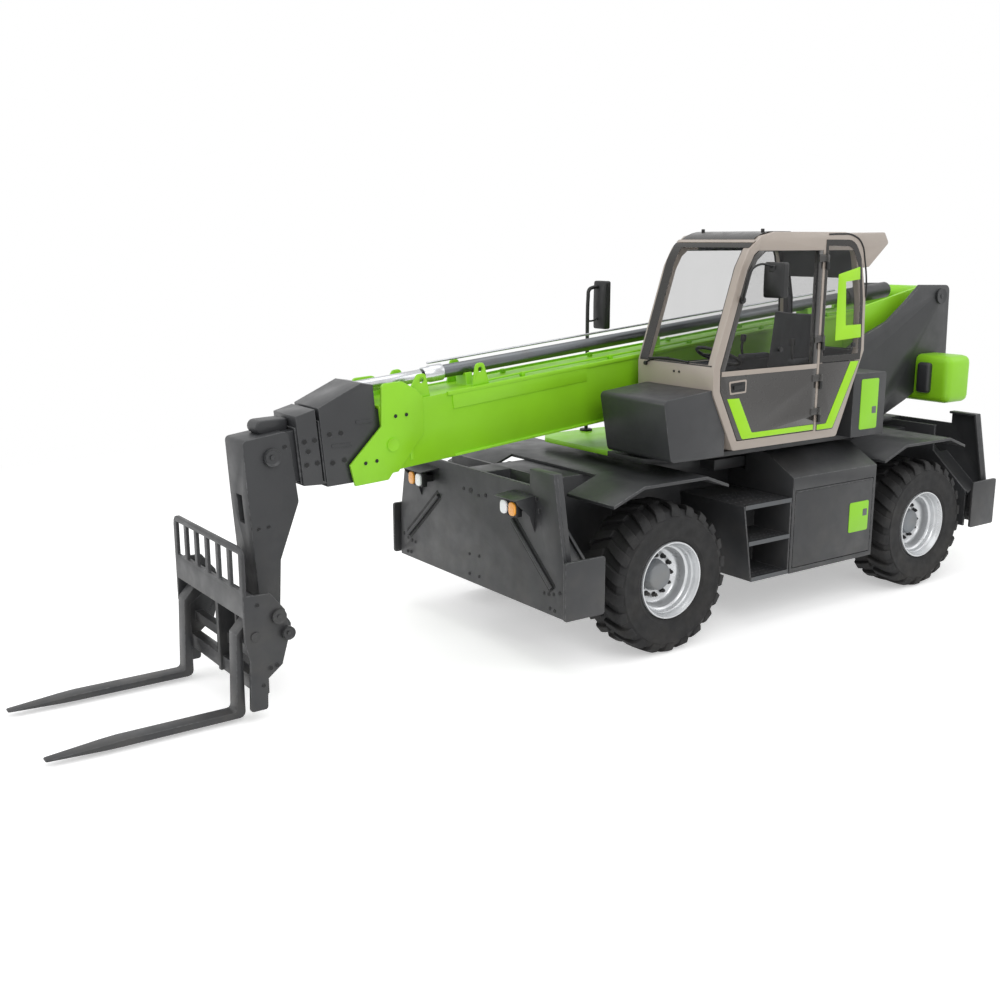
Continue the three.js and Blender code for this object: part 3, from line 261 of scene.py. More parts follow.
# Rounds a piece's edges and hands it over.
def finish(piece, edge, body, material, segments=2, angle=35):
    roundEdges(piece, edge, segments, angle)
    return hand(piece, body, material)


# Finishes.


def linear(code):
    values = [int(code[i : i + 2], 16) / 255 for i in (0, 2, 4)]
    return tuple(((v + 0.055) / 1.055) ** 2.4 if v > 0.04045 else v / 12.92 for v in values) + (1,)


def newMaterial(name):
    material = bpy.data.materials.new(name)
    material.use_nodes = True
    tree = material.node_tree
    shader = tree.nodes["Principled BSDF"]
    spot = tree.nodes.new("ShaderNodeTexCoord")
    return material, tree, shader, spot.outputs["Object"]


def noise(tree, spot, scale, detail=3, stretch=None):
    if stretch:
        mapping = tree.nodes.new("ShaderNodeMapping")
        mapping.inputs["Scale"].default_value = stretch
        tree.links.new(spot, mapping.inputs["Vector"])
        spot = mapping.outputs["Vector"]
    texture = tree.nodes.new("ShaderNodeTexNoise")
    texture.inputs["Scale"].default_value = scale
    texture.inputs["Detail"].default_value = detail
    tree.links.new(spot, texture.inputs["Vector"])
    return texture.outputs["Fac"]


def remap(tree, value, low, high, newLow, newHigh):
    node = tree.nodes.new("ShaderNodeMapRange")
    for i, number in enumerate((low, high, newLow, newHigh)):
        node.inputs[i + 1].default_value = number
    tree.links.new(value, node.inputs[0])
    return node.outputs[0]


def times(tree, first, second):
    node = tree.nodes.new("ShaderNodeMath")
    node.operation = "MULTIPLY"
    tree.links.new(first, node.inputs[0])
    if isinstance(second, (int, float)):
        node.inputs[1].default_value = second
    else:
        tree.links.new(second, node.inputs[1])
    return node.outputs[0]


def blendColours(tree, factor, first, second):
    node = tree.nodes.new("ShaderNodeMix")
    node.data_type = "RGBA"
    tree.links.new(factor, node.inputs[0])
    for socket, colour in ((node.inputs[6], first), (node.inputs[7], second)):
        if isinstance(colour, tuple):
            socket.default_value = colour
        else:
            tree.links.new(colour, socket)
    return node.outputs[2]


def addBump(tree, shader, height, strength, distance):
    bump = tree.nodes.new("ShaderNodeBump")
    bump.inputs["Strength"].default_value = strength
    bump.inputs["Distance"].default_value = distance
    tree.links.new(height, bump.inputs["Height"])
    tree.links.new(bump.outputs["Normal"], shader.inputs["Normal"])


def shade(colour, factor):
    return tuple(min(v * factor, 1) for v in colour[:3]) + (1,)


def lowDust(tree, spot, top):
    split = tree.nodes.new("ShaderNodeSeparateXYZ")
    tree.links.new(spot, split.inputs[0])
    low = remap(tree, split.outputs[2], 0, top, 1, 0)
    patchy = remap(tree, noise(tree, spot, 5, 6), 0.42, 0.7, 0, 1)
    return times(tree, low, patchy)


# Paint: soft cloudiness, a little dust low down, rubbed edges and the fine ripple of sprayed paint.
def paint(name, colour, roughness=0.42, dust=0.08, wear=0.4, metallic=0.0, coat=0.15):
    material, tree, shader, spot = newMaterial(name)
    cloud = remap(tree, noise(tree, spot, 2.3, 4), 0.3, 0.7, 0, 1)
    body = blendColours(tree, cloud, shade(colour, 0.95), shade(colour, 1.05))
    fleck = remap(tree, noise(tree, spot, 160, 2), 0.62, 0.72, 0, 0.12)
    body = blendColours(tree, fleck, body, shade(colour, 1.35))
    dusty = times(tree, lowDust(tree, spot, 1.5), dust)
    body = blendColours(tree, dusty, body, linear("9b9284"))
    edge = tree.nodes.new("ShaderNodeAttribute")
    edge.attribute_name = "edge"
    rubbed = remap(tree, noise(tree, spot, 30, 5), 0.38, 0.6, 0, 1)
    worn = times(tree, times(tree, edge.outputs["Fac"], rubbed), wear)
    body = blendColours(tree, worn, body, blendColours(tree, cloud, shade(colour, 1.8), linear("a4a5a6")))
    tree.links.new(body, shader.inputs["Base Color"])
    sheen = remap(tree, noise(tree, spot, 7, 5), 0.3, 0.7, roughness - 0.07, roughness + 0.09)
    tree.links.new(sheen, shader.inputs["Roughness"])
    shader.inputs["Metallic"].default_value = metallic
    shader.inputs["Coat Weight"].default_value = coat
    shader.inputs["Coat Roughness"].default_value = 0.2
    addBump(tree, shader, noise(tree, spot, 240, 2), 0.12, 0.0006)
    return material


# Bare or plated metal: brushed along X, with faint stains.
def metal(name, colour, roughness, stretch=(3, 60, 60), stain=0.2):
    material, tree, shader, spot = newMaterial(name)
    grain = noise(tree, spot, 12, 3, stretch)
    body = blendColours(tree, grain, shade(colour, 0.86), shade(colour, 1.08))
    stained = times(tree, remap(tree, noise(tree, spot, 6, 6), 0.5, 0.75, 0, 1), stain)
    body = blendColours(tree, stained, body, linear("5c5148"))
    tree.links.new(body, shader.inputs["Base Color"])
    shader.inputs["Metallic"].default_value = 1.0
    tree.links.new(
        remap(tree, grain, 0.2, 0.8, roughness - 0.06, roughness + 0.1), shader.inputs["Roughness"],
    )
    addBump(tree, shader, grain, 0.08, 0.0004)
    return material


# Moulded plastic and rubber: a fine pebbled grain over a soft grey bloom.
def moulded(name, colour, roughness, grainScale=420, grain=0.3, bloom=0.25, dust=0.0):
    material, tree, shader, spot = newMaterial(name)
    cloud = remap(tree, noise(tree, spot, 6, 5), 0.35, 0.7, 0, bloom)
    body = blendColours(tree, cloud, colour, shade(colour, 1.9))
    if dust:
        dusty = times(tree, lowDust(tree, spot, 1.4), dust)
        body = blendColours(tree, dusty, body, linear("8d857a"))
    tree.links.new(body, shader.inputs["Base Color"])
    rough = remap(tree, noise(tree, spot, 14, 4), 0.3, 0.7, roughness - 0.08, roughness + 0.08)
    tree.links.new(rough, shader.inputs["Roughness"])
    addBump(tree, shader, noise(tree, spot, grainScale, 2), grain, 0.0008)
    return material


# Tinted pane: darker towards its top, with faint smears in its gloss.
def glazing(name, colour, alpha, roughness=0.04):
    material, tree, shader, spot = newMaterial(name)
    split = tree.nodes.new("ShaderNodeSeparateXYZ")
    tree.links.new(spot, split.inputs[0])
    high = remap(tree, split.outputs[2], 2.0, 3.0, 0, 1)
    tree.links.new(
        blendColours(tree, high, shade(colour, 1.3), shade(colour, 0.75)), shader.inputs["Base Color"],
    )
    smear = remap(tree, noise(tree, spot, 5, 6, (1, 1, 0.3)), 0.45, 0.7, roughness, roughness + 0.09)
    tree.links.new(smear, shader.inputs["Roughness"])
    shader.inputs["Alpha"].default_value = alpha
    shader.inputs["Specular IOR Level"].default_value = 0.6
    return material


def lens(name, colour, glow):
    material, tree, shader, spot = newMaterial(name)
    ribs = tree.nodes.new("ShaderNodeTexWave")
    ribs.bands_direction = "Y"
    ribs.inputs["Scale"].default_value = 45
    tree.links.new(spot, ribs.inputs["Vector"])
    tree.links.new(
        blendColours(tree, ribs.outputs["Fac"], shade(colour, 0.8), shade(colour, 1.15)),
        shader.inputs["Base Color"],
    )
    tree.links.new(remap(tree, noise(tree, spot, 30, 3), 0.3, 0.7, 0.08, 0.2), shader.inputs["Roughness"])
    shader.inputs["Coat Weight"].default_value = 0.8
    shader.inputs["Emission Color"].default_value = colour
    shader.inputs["Emission Strength"].default_value = glow
    addBump(tree, shader, ribs.outputs["Fac"], 0.4, 0.002)
    return material


def woven(name, colour):
    material, tree, shader, spot = newMaterial(name)
    weave = tree.nodes.new("ShaderNodeTexBrick")
    for socket, number in (
        ("Scale", 220), ("Mortar Size", 0.03), ("Brick Width", 0.9), ("Row Height", 0.45),
    ):
        weave.inputs[socket].default_value = number
    weave.inputs["Color1"].default_value = shade(colour, 0.8)
    weave.inputs["Color2"].default_value = shade(colour, 1.25)
    weave.inputs["Mortar"].default_value = shade(colour, 0.4)
    tree.links.new(spot, weave.inputs["Vector"])
    faded = remap(tree, noise(tree, spot, 9, 4), 0.4, 0.7, 0, 0.4)
    tree.links.new(
        blendColours(tree, faded, weave.outputs["Color"], shade(colour, 1.7)), shader.inputs["Base Color"],
    )
    tree.links.new(remap(tree, noise(tree, spot, 60, 3), 0.3, 0.7, 0.8, 0.97), shader.inputs["Roughness"])
    shader.inputs["Sheen Weight"].default_value = 0.3
    addBump(tree, shader, weave.outputs["Fac"], 0.4, 0.001)
    return material


colours = {
    "dark": linear("2f3032"),
    "green": linear("90d41e"),
    "lime": linear("9fdd04"),
    "beige": linear("a59a90"),
    "silver": linear("d0d2d4"),
}
darkPaint = paint("dark paint", colours["dark"], 0.48, wear=0.4, coat=0.1)
innerPaint = paint("inner boom paint", shade(colours["dark"], 0.95), 0.36, dust=0.0, wear=0.3)
greenPaint = paint("green paint", colours["green"], 0.45, wear=0.35, coat=0.1)
limePaint = paint("lime stripe", colours["lime"], 0.45, dust=0.0, wear=0.1, coat=0.1)
cabPaint = paint("cab paint", colours["beige"], 0.36, wear=0.2, coat=0.3)
rimPaint = paint("rim paint", colours["silver"], 0.3, dust=0.05, wear=0.1, metallic=0.6, coat=0.3)
cabBlack = paint("cab black", linear("353331"), 0.26, dust=0.0, wear=0.15, coat=0.4)
hubPaint = paint("hub paint", linear("787d82"), 0.45, dust=0.4, wear=0.3)
castPaint = paint("axle paint", linear("2b2c2e"), 0.6, dust=0.15, wear=0.5, coat=0.0)
brightSteel = metal("bright steel", linear("c9cbce"), 0.22)
barrelSteel = metal("barrel steel", linear("6e7174"), 0.3)
boltSteel = metal("bolt steel", linear("8d8f92"), 0.38, (20, 20, 20), 0.4)
treadMetal = metal("worn tread metal", linear("5f6163"), 0.42, (30, 4, 30), 0.3)
tyreRubber = moulded("tyre rubber", linear("151516"), 0.78, 260, 0.5, 0.3, 0.06)
seal = moulded("window seal", linear("08090a"), 0.6, bloom=0.08)
blackPlastic = moulded("black plastic", linear("0e0f10"), 0.5, bloom=0.15)
greyPlastic = moulded("grey plastic", linear("5b5d60"), 0.5)
cabTrim = moulded("cab lining", linear("434548"), 0.75, 300, 0.4, 0.2)
seatCloth = woven("seat cloth", linear("3a3c40"))
sideGlass = glazing("tinted side glass", linear("2c2a29"), 0.15)
frontGlass = glazing("windscreen glass", linear("3a3d3f"), 0.06)
# dark print round the glass; the same finish is also the painted shade of the inner pillar beside the windscreen
fritAndShade = moulded("glass border", linear("242220"), 0.25, 30, 0.02, 0.05)
mirrorFace = metal("mirror face", linear("dfe4e6"), 0.08, (1, 1, 1), 0.05)
clearLens = lens("clear lens", linear("eceef0"), 0.15)
orangeLens = lens("orange lens", linear("f0a030"), 0.12)
redLens = lens("red lens", linear("b3181c"), 0.15)
print("finishes ready:", len(bpy.data.materials))


# The plain nodes. Each is a merged copy of its node, with a narrow bevel whose faces carry the "edge" mark
# for rubbed paint.
def dress(name, material, width=0.004, edgeMark=0.6):
    node = nodes[name]
    slotName = next(part["material_slot"] for part in frame["record"]["subparts"] if part["node"] == name)
    piece = node.copy()
    piece.data = node.data.copy()
    piece.parent = None
    bpy.context.scene.collection.objects.link(piece)
    piece.name = name + "_finish"
    for key in list(piece.keys()):
        del piece[key]
    editAll(piece)
    bpy.ops.mesh.remove_doubles(threshold=0.00005)
    bpy.ops.mesh.dissolve_limited(angle_limit=math.radians(0.5))
    leaveEdit()
    piece.data.materials.clear()
    for _ in range(2):
        piece.data.materials.append(material)
    applyModifier(
        piece,
        "BEVEL",
        width=width,
        segments=2,
        limit_method="ANGLE",
        angle_limit=math.radians(38),
        use_clamp_overlap=False,
        material=1,
    )
    mark = piece.data.attributes.new("edge", "FLOAT", "FACE")
    for face, value in zip(piece.data.polygons, mark.data):
        value.value = edgeMark if face.material_index == 1 else 0
        face.material_index = 0
    pick(piece)
    bpy.ops.object.shade_smooth_by_angle(angle=math.radians(38))
    return hand(piece, bodyOf(name), material, name, slotName=slotName)


def bodyOf(name):
    return next(body for body, members in frame["record"]["behaviour"]["bodies"].items() if name in members)


plain = {
    darkPaint: [
        "chassis_frame", "front_fenders", "rear_fenders", "front_stabiliser_frame", "rear_stabiliser_frame",
        "left_side_box", "left_box_door", "engine_housing", "engine_door", "access_steps", "turret_frame",
        "front_box", "rear_locker", "lift_cylinder_barrel", "fork_carriage", "left_fork",
        "right_fork", "gooseneck", "cab_roof",
    ],
    innerPaint: ["boom_section_2", "boom_section_3"],
    greenPaint: ["turret_platform", "counterweight", "boom_outer_section"],
    cabPaint: ["cab_shell"],
    castPaint: ["front_axle", "rear_axle", "engine_block"],
    cabBlack: ["cab_door"],
    blackPlastic: ["steering_column"],
    barrelSteel: ["extension_cylinder"],
    brightSteel: ["lift_cylinder_rod"],
}
for end in ("front", "rear"):
    for side in ("left", "right"):
        plain[darkPaint] += [f"{end}_{side}_stabiliser_leg", f"{end}_{side}_stabiliser_foot"]
        plain[castPaint].append(f"{end}_{side}_knuckle")
dressed = {name: dress(name, material) for material, names in plain.items() for name in names}
for name in ("left_quarter_window", "right_window", "rear_window", "door_window"):
    nodes[name].data.materials.clear()
    nodes[name].data.materials.append(sideGlass)
nodes["windscreen"].data.materials.clear()
nodes["windscreen"].data.materials.append(frontGlass)


# The platform is green beside the boom only, and dark under the cab, where the dark paint is painted shade for the
# shadowed gap beneath the cab.
def splitPlatform(edgeY=0.29):
    piece = dressed["turret_platform"]
    editAll(piece)
    bpy.ops.mesh.bisect(plane_co=at(0, edgeY, 0), plane_no=(0, 1, 0))
    leaveEdit()
    piece.data.materials.append(darkPaint)
    for face in piece.data.polygons:
        face.material_index = 1 if face.center.y > at(0, edgeY, 0)[1] else 0


splitPlatform()
print("plain nodes dressed:", len(dressed))


# Wheels.

wheel = {
    "radius": 0.575,
    "halfWidth": 0.22,
    "grooveRadius": 0.541,
    "lugs": 22,  # on each side of the tread
    "lugLength": 0.062,
    "lugLean": 0.42,  # how far a lug sweeps back for each metre outwards
    "bolts": 12,
    "boltCircle": 0.157,
}


def startTyre(spot):
    half, groove = wheel["halfWidth"], wheel["grooveRadius"]
    side = [
        (0.2855, 0.170), (0.286, 0.186), (0.2995, 0.1865), (0.312, 0.196), (0.33, 0.2035), (0.338, 0.2065),
        (0.344, 0.2055), (0.38, 0.2135), (0.43, half - 0.003), (0.47, half - 0.0035), (0.476, half - 0.001),
        (0.484, half - 0.001), (0.49, half - 0.006), (0.515, 0.205), (groove - 0.006, 0.186),
        (groove, 0.165),
    ]
    bead = (0.2855, 0.09)
    profile = side + [(groove, 0.0)] + [(r, -y) for r, y in reversed(side)] + [(bead[0], -bead[1]), bead]
    return startTurned("tyre_start", profile, spot, steps=88)


# One lug: a bar from the middle of the tread that folds over the shoulder, leaning back as it goes out.
def startLug(spot):
    top, groove, half = wheel["radius"], wheel["grooveRadius"], wheel["halfWidth"]
    corners = [
        (groove - 0.012, 0.004), (top - 0.004, 0.008), (top - 0.001, 0.07), (top - 0.002, 0.13),
        (top - 0.008, 0.172),
        (top - 0.028, 0.206), (0.5, half - 0.001), (0.486, half - 0.008), (0.5, 0.19),
        (groove - 0.014, 0.16),
    ]
    lug = startPlate("lug_start", corners, "z", -wheel["lugLength"] / 2, wheel["lugLength"])
    for vertex in lug.data.vertices:
        radius, y, z = vertex.co
        wide = 1.0 + 0.35 * min(y / 0.2, 1)
        vertex.co = (spot[0] + radius, spot[1] + y, spot[2] + z * wide - wheel["lugLean"] * y + 0.02)
    roundEdges(lug, 0.005, 1, 30)
    return lug


def makeTyre(end, side):
    name = f"{end}_{side}_tyre"
    low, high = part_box(name)
    spot = Vector([(a + b) / 2 for a, b in zip(low, high)])
    spot.z = wheel["radius"]
    lug = startLug(spot)
    pitch = 2 * math.pi / wheel["lugs"]
    pieces = [startTyre(spot)]
    other = copied(lug, "lug_other", mirrorAcross(spot.y))
    for first, offset in ((lug, 0), (other, 0.5)):
        for i in range(wheel["lugs"]):
            turn = Matrix.Translation(spot) @ Matrix.Rotation(
                pitch * (i + offset), 4, "Y"
            ) @ Matrix.Translation(-spot)
            pieces.append(copied(first, f"lug_{i}", turn))
        bpy.data.objects.remove(first)
    tyre = joined(name + "_tread", pieces)
    pick(tyre)
    bpy.ops.object.shade_smooth_by_angle(angle=math.radians(28))
    return hand(tyre, f"{end}_{side}_wheel", tyreRubber, name)


def makeRim(end, side):
    name = f"{end}_{side}_rim"
    low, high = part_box(f"{end}_{side}_tyre")
    out = 1 if side == "left" else -1
    spot = Vector([(a + b) / 2 for a, b in zip(low, high)])
    spot.z = wheel["radius"]
    profile = [
        (0.298, 0.1868), (0.298, 0.2), (0.2955, 0.2045), (0.291, 0.2055), (0.2865, 0.2035), (0.283, 0.196),
        (0.277, 0.18),
        (0.2685, 0.166), (0.2665, 0.15), (0.2625, 0.146), (0.2585, 0.14), (0.256, 0.112), (0.251, 0.104),
        (0.238, 0.098),
        (0.235, 0.09), (0.231, 0.05), (0.222, 0.02), (0.205, 0.006), (0.128, 0.004), (0.12, 0.0),
        (0.075, 0.0),
        (0.075, -0.016), (0.215, -0.016), (0.243, -0.03), (0.243, -0.112), (0.272, -0.15),
        (0.2865, -0.2035), (0.291, -0.2055),
        (0.2955, -0.2045), (0.298, -0.2), (0.298, -0.1868), (0.2848, -0.1868), (0.2848, -0.16),
        (0.262, -0.11),
        (0.262, 0.11), (0.2848, 0.16), (0.2848, 0.1868),
    ]
    rim = startTurned(name + "_steel", profile, spot, steps=72)
    if out < 0:
        rim.data.transform(mirrorAcross(spot.y))
        rim.data.flip_normals()
    pick(rim)
    bpy.ops.object.shade_smooth_by_angle(angle=math.radians(40))
    hand(rim, f"{end}_{side}_wheel", rimPaint, name)

    hubProfile = [
        (0.0001, 0.082), (0.06, 0.082), (0.092, 0.08), (0.101, 0.076), (0.106, 0.068), (0.112, 0.03),
        (0.12, 0.016), (0.124, 0.0), (0.0001, 0.0),
    ]
    hub = startTurned(f"{end}_{side}_hub", [(r, out * y) for r, y in hubProfile], spot, steps=48)
    pick(hub)
    bpy.ops.object.shade_smooth_by_angle(angle=math.radians(40))
    hand(hub, f"{end}_{side}_wheel", hubPaint)

    nuts = []
    for i in range(wheel["bolts"]):
        angle = 2 * math.pi * i / wheel["bolts"]
        across, up = math.cos(angle) * wheel["boltCircle"], math.sin(angle) * wheel["boltCircle"]
        middle = spot + Vector((across, 0, up))
        way = Vector((0, out, 0))
        nuts.append(startBar("nut", middle + way * 0.002, middle + way * 0.032, 0.0175, 6))
        nuts.append(startBar("nut_flange", middle + way * 0.002, middle + way * 0.009, 0.0215, 20))
        nuts.append(startBar("stud", middle + way * 0.028, middle + way * 0.044, 0.0095, 12))
    ring = joined(f"{end}_{side}_wheel_nuts", nuts)
    finish(ring, 0.0014, f"{end}_{side}_wheel", castPaint, 2, 30)


for end in ("front", "rear"):
    for side in ("left", "right"):
        makeTyre(end, side)
        makeRim(end, side)
print("wheels made")

# Cab.

cab = {
    "left": 1.100,  # outside face of the door side
    "skin": 0.0025,  # a stripe or panel stands this proud
    "panel": [(-0.022, 1.566), (-0.228, 1.566, 0.02), (-0.518, 2.112), (-0.022, 2.112)],
    "quarterPane": [
        (-0.022, 2.118), (-0.522, 2.118), (-0.53, 2.214), (-0.512, 2.6),
        (-0.46, 2.94, 0.1), (-0.37, 3.08, 0.14), (-0.022, 3.082),
    ],
    "quarterOpening": [
        (-0.052, 2.17), (-0.49, 2.17), (-0.478, 2.6), (-0.44, 2.86), (-0.34, 3.03, 0.1), (-0.052, 3.035),
    ],
    "doorStripe": [
        (1.012, 1.905), (0.884, 1.902), (0.728, 1.624, 0.02), (0.014, 1.624), (0.014, 1.581),
        (0.835, 1.581, 0.03),
    ],
    "rearStripe": [
        (-0.03, 1.575), (-0.222, 1.575, 0.02), (-0.507, 2.108), (-0.402, 2.108), (-0.138, 1.618, 0.02),
        (-0.03, 1.618),
    ],
    "windowBlock": [
        (-0.192, 2.286, 0.006), (-0.512, 2.3, 0.006), (-0.505, 2.406), (-0.312, 2.404),
        (-0.285, 2.752), (-0.458, 2.768), (-0.448, 2.868, 0.006), (-0.188, 2.812, 0.006),
    ],
    "crossbar": [(0.012, 2.077), (1.083, 2.077), (1.083, 2.115), (0.012, 2.115)],
    "surround": [(0.81, 1.94, 0.012), (0.985, 1.935, 0.012), (1.002, 2.035, 0.012), (0.81, 2.042, 0.012)],
    "recess": [(0.825, 1.953, 0.01), (0.974, 1.949, 0.01), (0.986, 2.022, 0.01), (0.825, 2.028, 0.01)],
    "grip": [(0.85, 1.975, 0.008), (0.955, 1.972, 0.008), (0.958, 2.003, 0.008), (0.85, 2.006, 0.008)],
    "gutter": [
        (-0.05, 3.122), (-0.2, 3.125), (-0.33, 3.118), (-0.45, 3.055), (-0.51, 2.9), (-0.545, 2.72),
        (-0.548, 2.62),
    ],
    # the front's line: up the windscreen, round the brow and back along the roof
    "frontLine": [(1.166, 1.6), (1.165, 2.145), (0.831, 3.14, 0.38), (-0.2, 3.14), (-0.2, 1.6)],
    # lengths along that line, then the two sides
    "frontSheets": {
        "windscreen_border_bottom": (0.553, 0.563, 0.285, 1.075),
        # painted shade: this dark sheet stands for the inner pillar in shade beside the windscreen
        "windscreen_border_right": (0.563, 1.485, 0.283, 0.378),
        "windscreen_border_top": (1.485, 1.535, 0.272, 1.086),
        "roof_pane": (1.58, 2.0, 0.30, 1.06),
    },
    "wiperArm": [(1.18, 0.36, 2.13), (1.173, 0.45, 2.172), (1.168, 0.62, 2.19)],
    "wiperBlade": [(1.172, 0.40, 2.172), (1.17, 0.62, 2.182), (1.172, 0.84, 2.172)],
    "middle": (0.25, 0.68, 2.3),
    "innerSides": (0.315, 1.046),
    "hinges": (-0.066, 0.03, 1.1015),  # rear, front and the face they stand proud of
}


# An upright plate from (x, z) corners, standing at y.
def uprightPlate(name, corners, y, thickness, body, material, edge, segments=2):
    outline = [(*at(x, 0, z)[::2], *radius) for x, z, *radius in corners]
    plate = startPlate(name, outline, "y", at(0, y, 0)[1], thickness)
    return finish(plate, edge, body, material, segments)


# A plate on the cab's left face.
def sidePlate(name, corners, thickness, body, material, depth=0.0, edge=0.0012):
    return uprightPlate(name, corners, cab["left"] + depth, thickness, body, material, edge)


def block(name, low, high, body, material, edge=0.006, segments=3):
    return finish(startBlock(name, at(*low), at(*high)), edge, body, material, segments)


def bar(name, start, end, radius, body, material=blackPlastic, sides=20, edge=0.002):
    return finish(startBar(name, at(*start), at(*end), radius, sides), edge, body, material)


def tube(name, points, radius, body, material=blackPlastic):
    return hand(tubeAlong(name, [at(*point) for point in points], radius), body, material)


# A rubber ring round the outside face of a pane.
def sealAround(name, pane, outward, radius, shift, body):
    ring = copied(nodes[pane], name)
    ring.parent = None
    for key in list(ring.keys()):
        del ring[key]
    editAll(ring)
    bpy.ops.mesh.remove_doubles(threshold=0.0001)
    bpy.ops.mesh.dissolve_limited(angle_limit=math.radians(1))
    mesh = bmesh.from_edit_mesh(ring.data)
    away = [face for face in mesh.faces if face.normal.dot(Vector(outward)) < 0.3]
    bmesh.ops.delete(mesh, geom=away, context="FACES")
    bends = [edge for edge in mesh.edges if not edge.is_boundary]
    bmesh.ops.delete(mesh, geom=bends, context="EDGES")
    bmesh.ops.delete(mesh, geom=mesh.faces[:], context="FACES_ONLY")
    bmesh.update_edit_mesh(ring.data)
    leaveEdit()
    ring.data.transform(Matrix.Translation(Vector(outward) * shift))
    pick(ring)
    bpy.ops.object.convert(target="CURVE")
    ring.data.bevel_depth = radius
    ring.data.bevel_resolution = 2
    bpy.ops.object.convert(target="MESH")
    pick(ring)
    bpy.ops.object.shade_smooth_by_angle(angle=math.radians(50))
    return hand(ring, body, seal)


# The shell is painted outside, lined inside, and its hinges are black.
def lineShell():
    shell = dressed["cab_shell"]
    for material in (cabTrim, blackPlastic):
        shell.data.materials.append(material)
    middle = Vector(at(*cab["middle"]))
    inner = [at(0, y, 0)[1] for y in cab["innerSides"]]
    rear, front, proud = cab["hinges"]
    hingeRear, hingeFace = at(rear, proud, 0)[:2]
    hingeFront = at(front, 0, 0)[0]
    for face in shell.data.polygons:
        inward = (face.center - middle).dot(face.normal) < 0
        if inward and inner[0] < face.center.y < inner[1]:
            face.material_index = 1
        elif face.center.y > hingeFace and hingeRear < face.center.x < hingeFront:
            face.material_index = 2


# A ring between two outlines on the cab's side.
def sideRing(name, outer, inner, thickness, body, material, depth):
    y = at(0, cab["left"] + depth, 0)[1]
    outline, hole = ([(*at(x, 0, z)[::2], *radius) for x, z, *radius in line] for line in (outer, inner))
    ring = startPlate(name, outline, "y", y, thickness)
    cutAway(ring, startPlate("ring_hole", hole, "y", y - 0.1, 0.2))
    return finish(ring, 0.0008, body, material, 1)


# A sheet that follows the cab's front and roof, from one length along that line to another.
def frontSheet(name, start, end, y0, y1, material=fritAndShade, thickness=0.003, lift=0.001, edge=0.001):
    line = roundedOutline(cab["frontLine"], 10)[:-1]
    lengths = [0]
    for before, after in zip(line, line[1:]):
        lengths.append(lengths[-1] + (after - before).length)

    def along(length):
        i = max(j for j in range(len(line) - 1) if lengths[j] <= length + 1e-6)
        way = (line[i + 1] - line[i]).normalized()
        return line[i] + way * (length - lengths[i]), Vector((way[1], -way[0]))

    stops = [start] + [length for length in lengths if start + 0.01 < length < end - 0.01] + [end]
    under, over = [], []
    for stop in stops:
        point, _ = along(stop)
        outward = (along(min(stop + 0.02, end))[1] + along(max(stop - 0.02, start))[1]).normalized()
        under.append(point + outward * lift)
        over.append(point + outward * (lift + thickness))
    corners = [at(x, 0, z)[::2] for x, z in under + over[::-1]]
    sheet = startPlate(name, corners, "y", at(0, y0, 0)[1], y1 - y0)
    return finish(sheet, edge, "turret", material, 1, 40)


def makeCabTrim():
    left, skin = cab["left"], cab["skin"]
    sidePlate("quarter_panel", cab["panel"], skin, "turret", cabBlack)
    sidePlate("rear_stripe", cab["rearStripe"], skin, "turret", limePaint, skin)
    sidePlate("door_stripe", cab["doorStripe"], skin, "cab_door", limePaint)
    pane, opening = cab["quarterPane"], cab["quarterOpening"]
    sideRing("quarter_glass_border", pane, opening, 0.002, "turret", fritAndShade, 0.001)
    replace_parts(sidePlate("quarter_pane", opening, 0.002, "turret", sideGlass, 0.001), "left_quarter_window")
    sidePlate("quarter_window_stripe", cab["windowBlock"], 0.0015, "turret", limePaint, 0.003)
    for name, place in cab["frontSheets"].items():
        frontSheet(name, *place)
    frontSheet("windscreen_trim", 1.54, 1.575, 0.272, 1.09, cabPaint, 0.005)
    sidePlate("door_crossbar", cab["crossbar"], 0.006, "cab_door", cabPaint, 0, 0.002)
    sidePlate("handle_surround", cab["surround"], 0.003, "cab_door", cabPaint, 0, 0.001)
    sidePlate("handle_recess", cab["recess"], 0.0025, "cab_door", seal, 0.0025, 0.001)
    sidePlate("door_handle", cab["grip"], 0.011, "cab_door", blackPlastic, 0.005, 0.004)
    near, proud = left - 0.012, left + 0.006
    block("window_latch", (-0.455, near, 2.225), (-0.41, proud, 2.26), "turret", blackPlastic, 0.004)
    start, end = (0.45, near, 2.251), (0.45, left + 0.012, 2.251)
    bar("glass_knob", start, end, 0.019, "cab_door", sides=24, edge=0.004)
    for pane, outward, radius, body in (
        ("door_window", (0, 1, 0), 0.0065, "cab_door"),
        ("left_quarter_window", (0, 1, 0), 0.0075, "turret"),
        ("right_window", (0, -1, 0), 0.0075, "turret"),
        ("windscreen", (1, 0, 0), 0.009, "turret"),
        ("rear_window", (-1, 0, 0), 0.009, "turret"),
    ):
        sealAround(pane.removeprefix("left_") + "_seal", pane, outward, radius, 0.003, body)
    for i, y in enumerate((0.677, 0.735)):
        bar(f"washer_jet_{i}", (1.155, y, 2.09), (1.172, y, 2.092), 0.009, "turret", sides=16, edge=0.003)
    for i, y in enumerate((0.37, 1.0)):
        bar(f"roof_knob_{i}", (0.60, y, 3.135), (0.60, y, 3.163), 0.014, "turret", sides=16, edge=0.004)
    bar("wiper_pivot", (1.15, 0.36, 2.125), (1.185, 0.36, 2.13), 0.016, "turret", edge=0.004)
    tube("wiper_arm", cab["wiperArm"], 0.006, "turret")
    tube("wiper_blade", cab["wiperBlade"], 0.008, "turret", seal)
    for side, y in (("left", left + 0.001), ("right", 0.262)):
        tube(f"{side}_roof_seal", [(x, y, z) for x, z in cab["gutter"]], 0.007, "turret", seal)


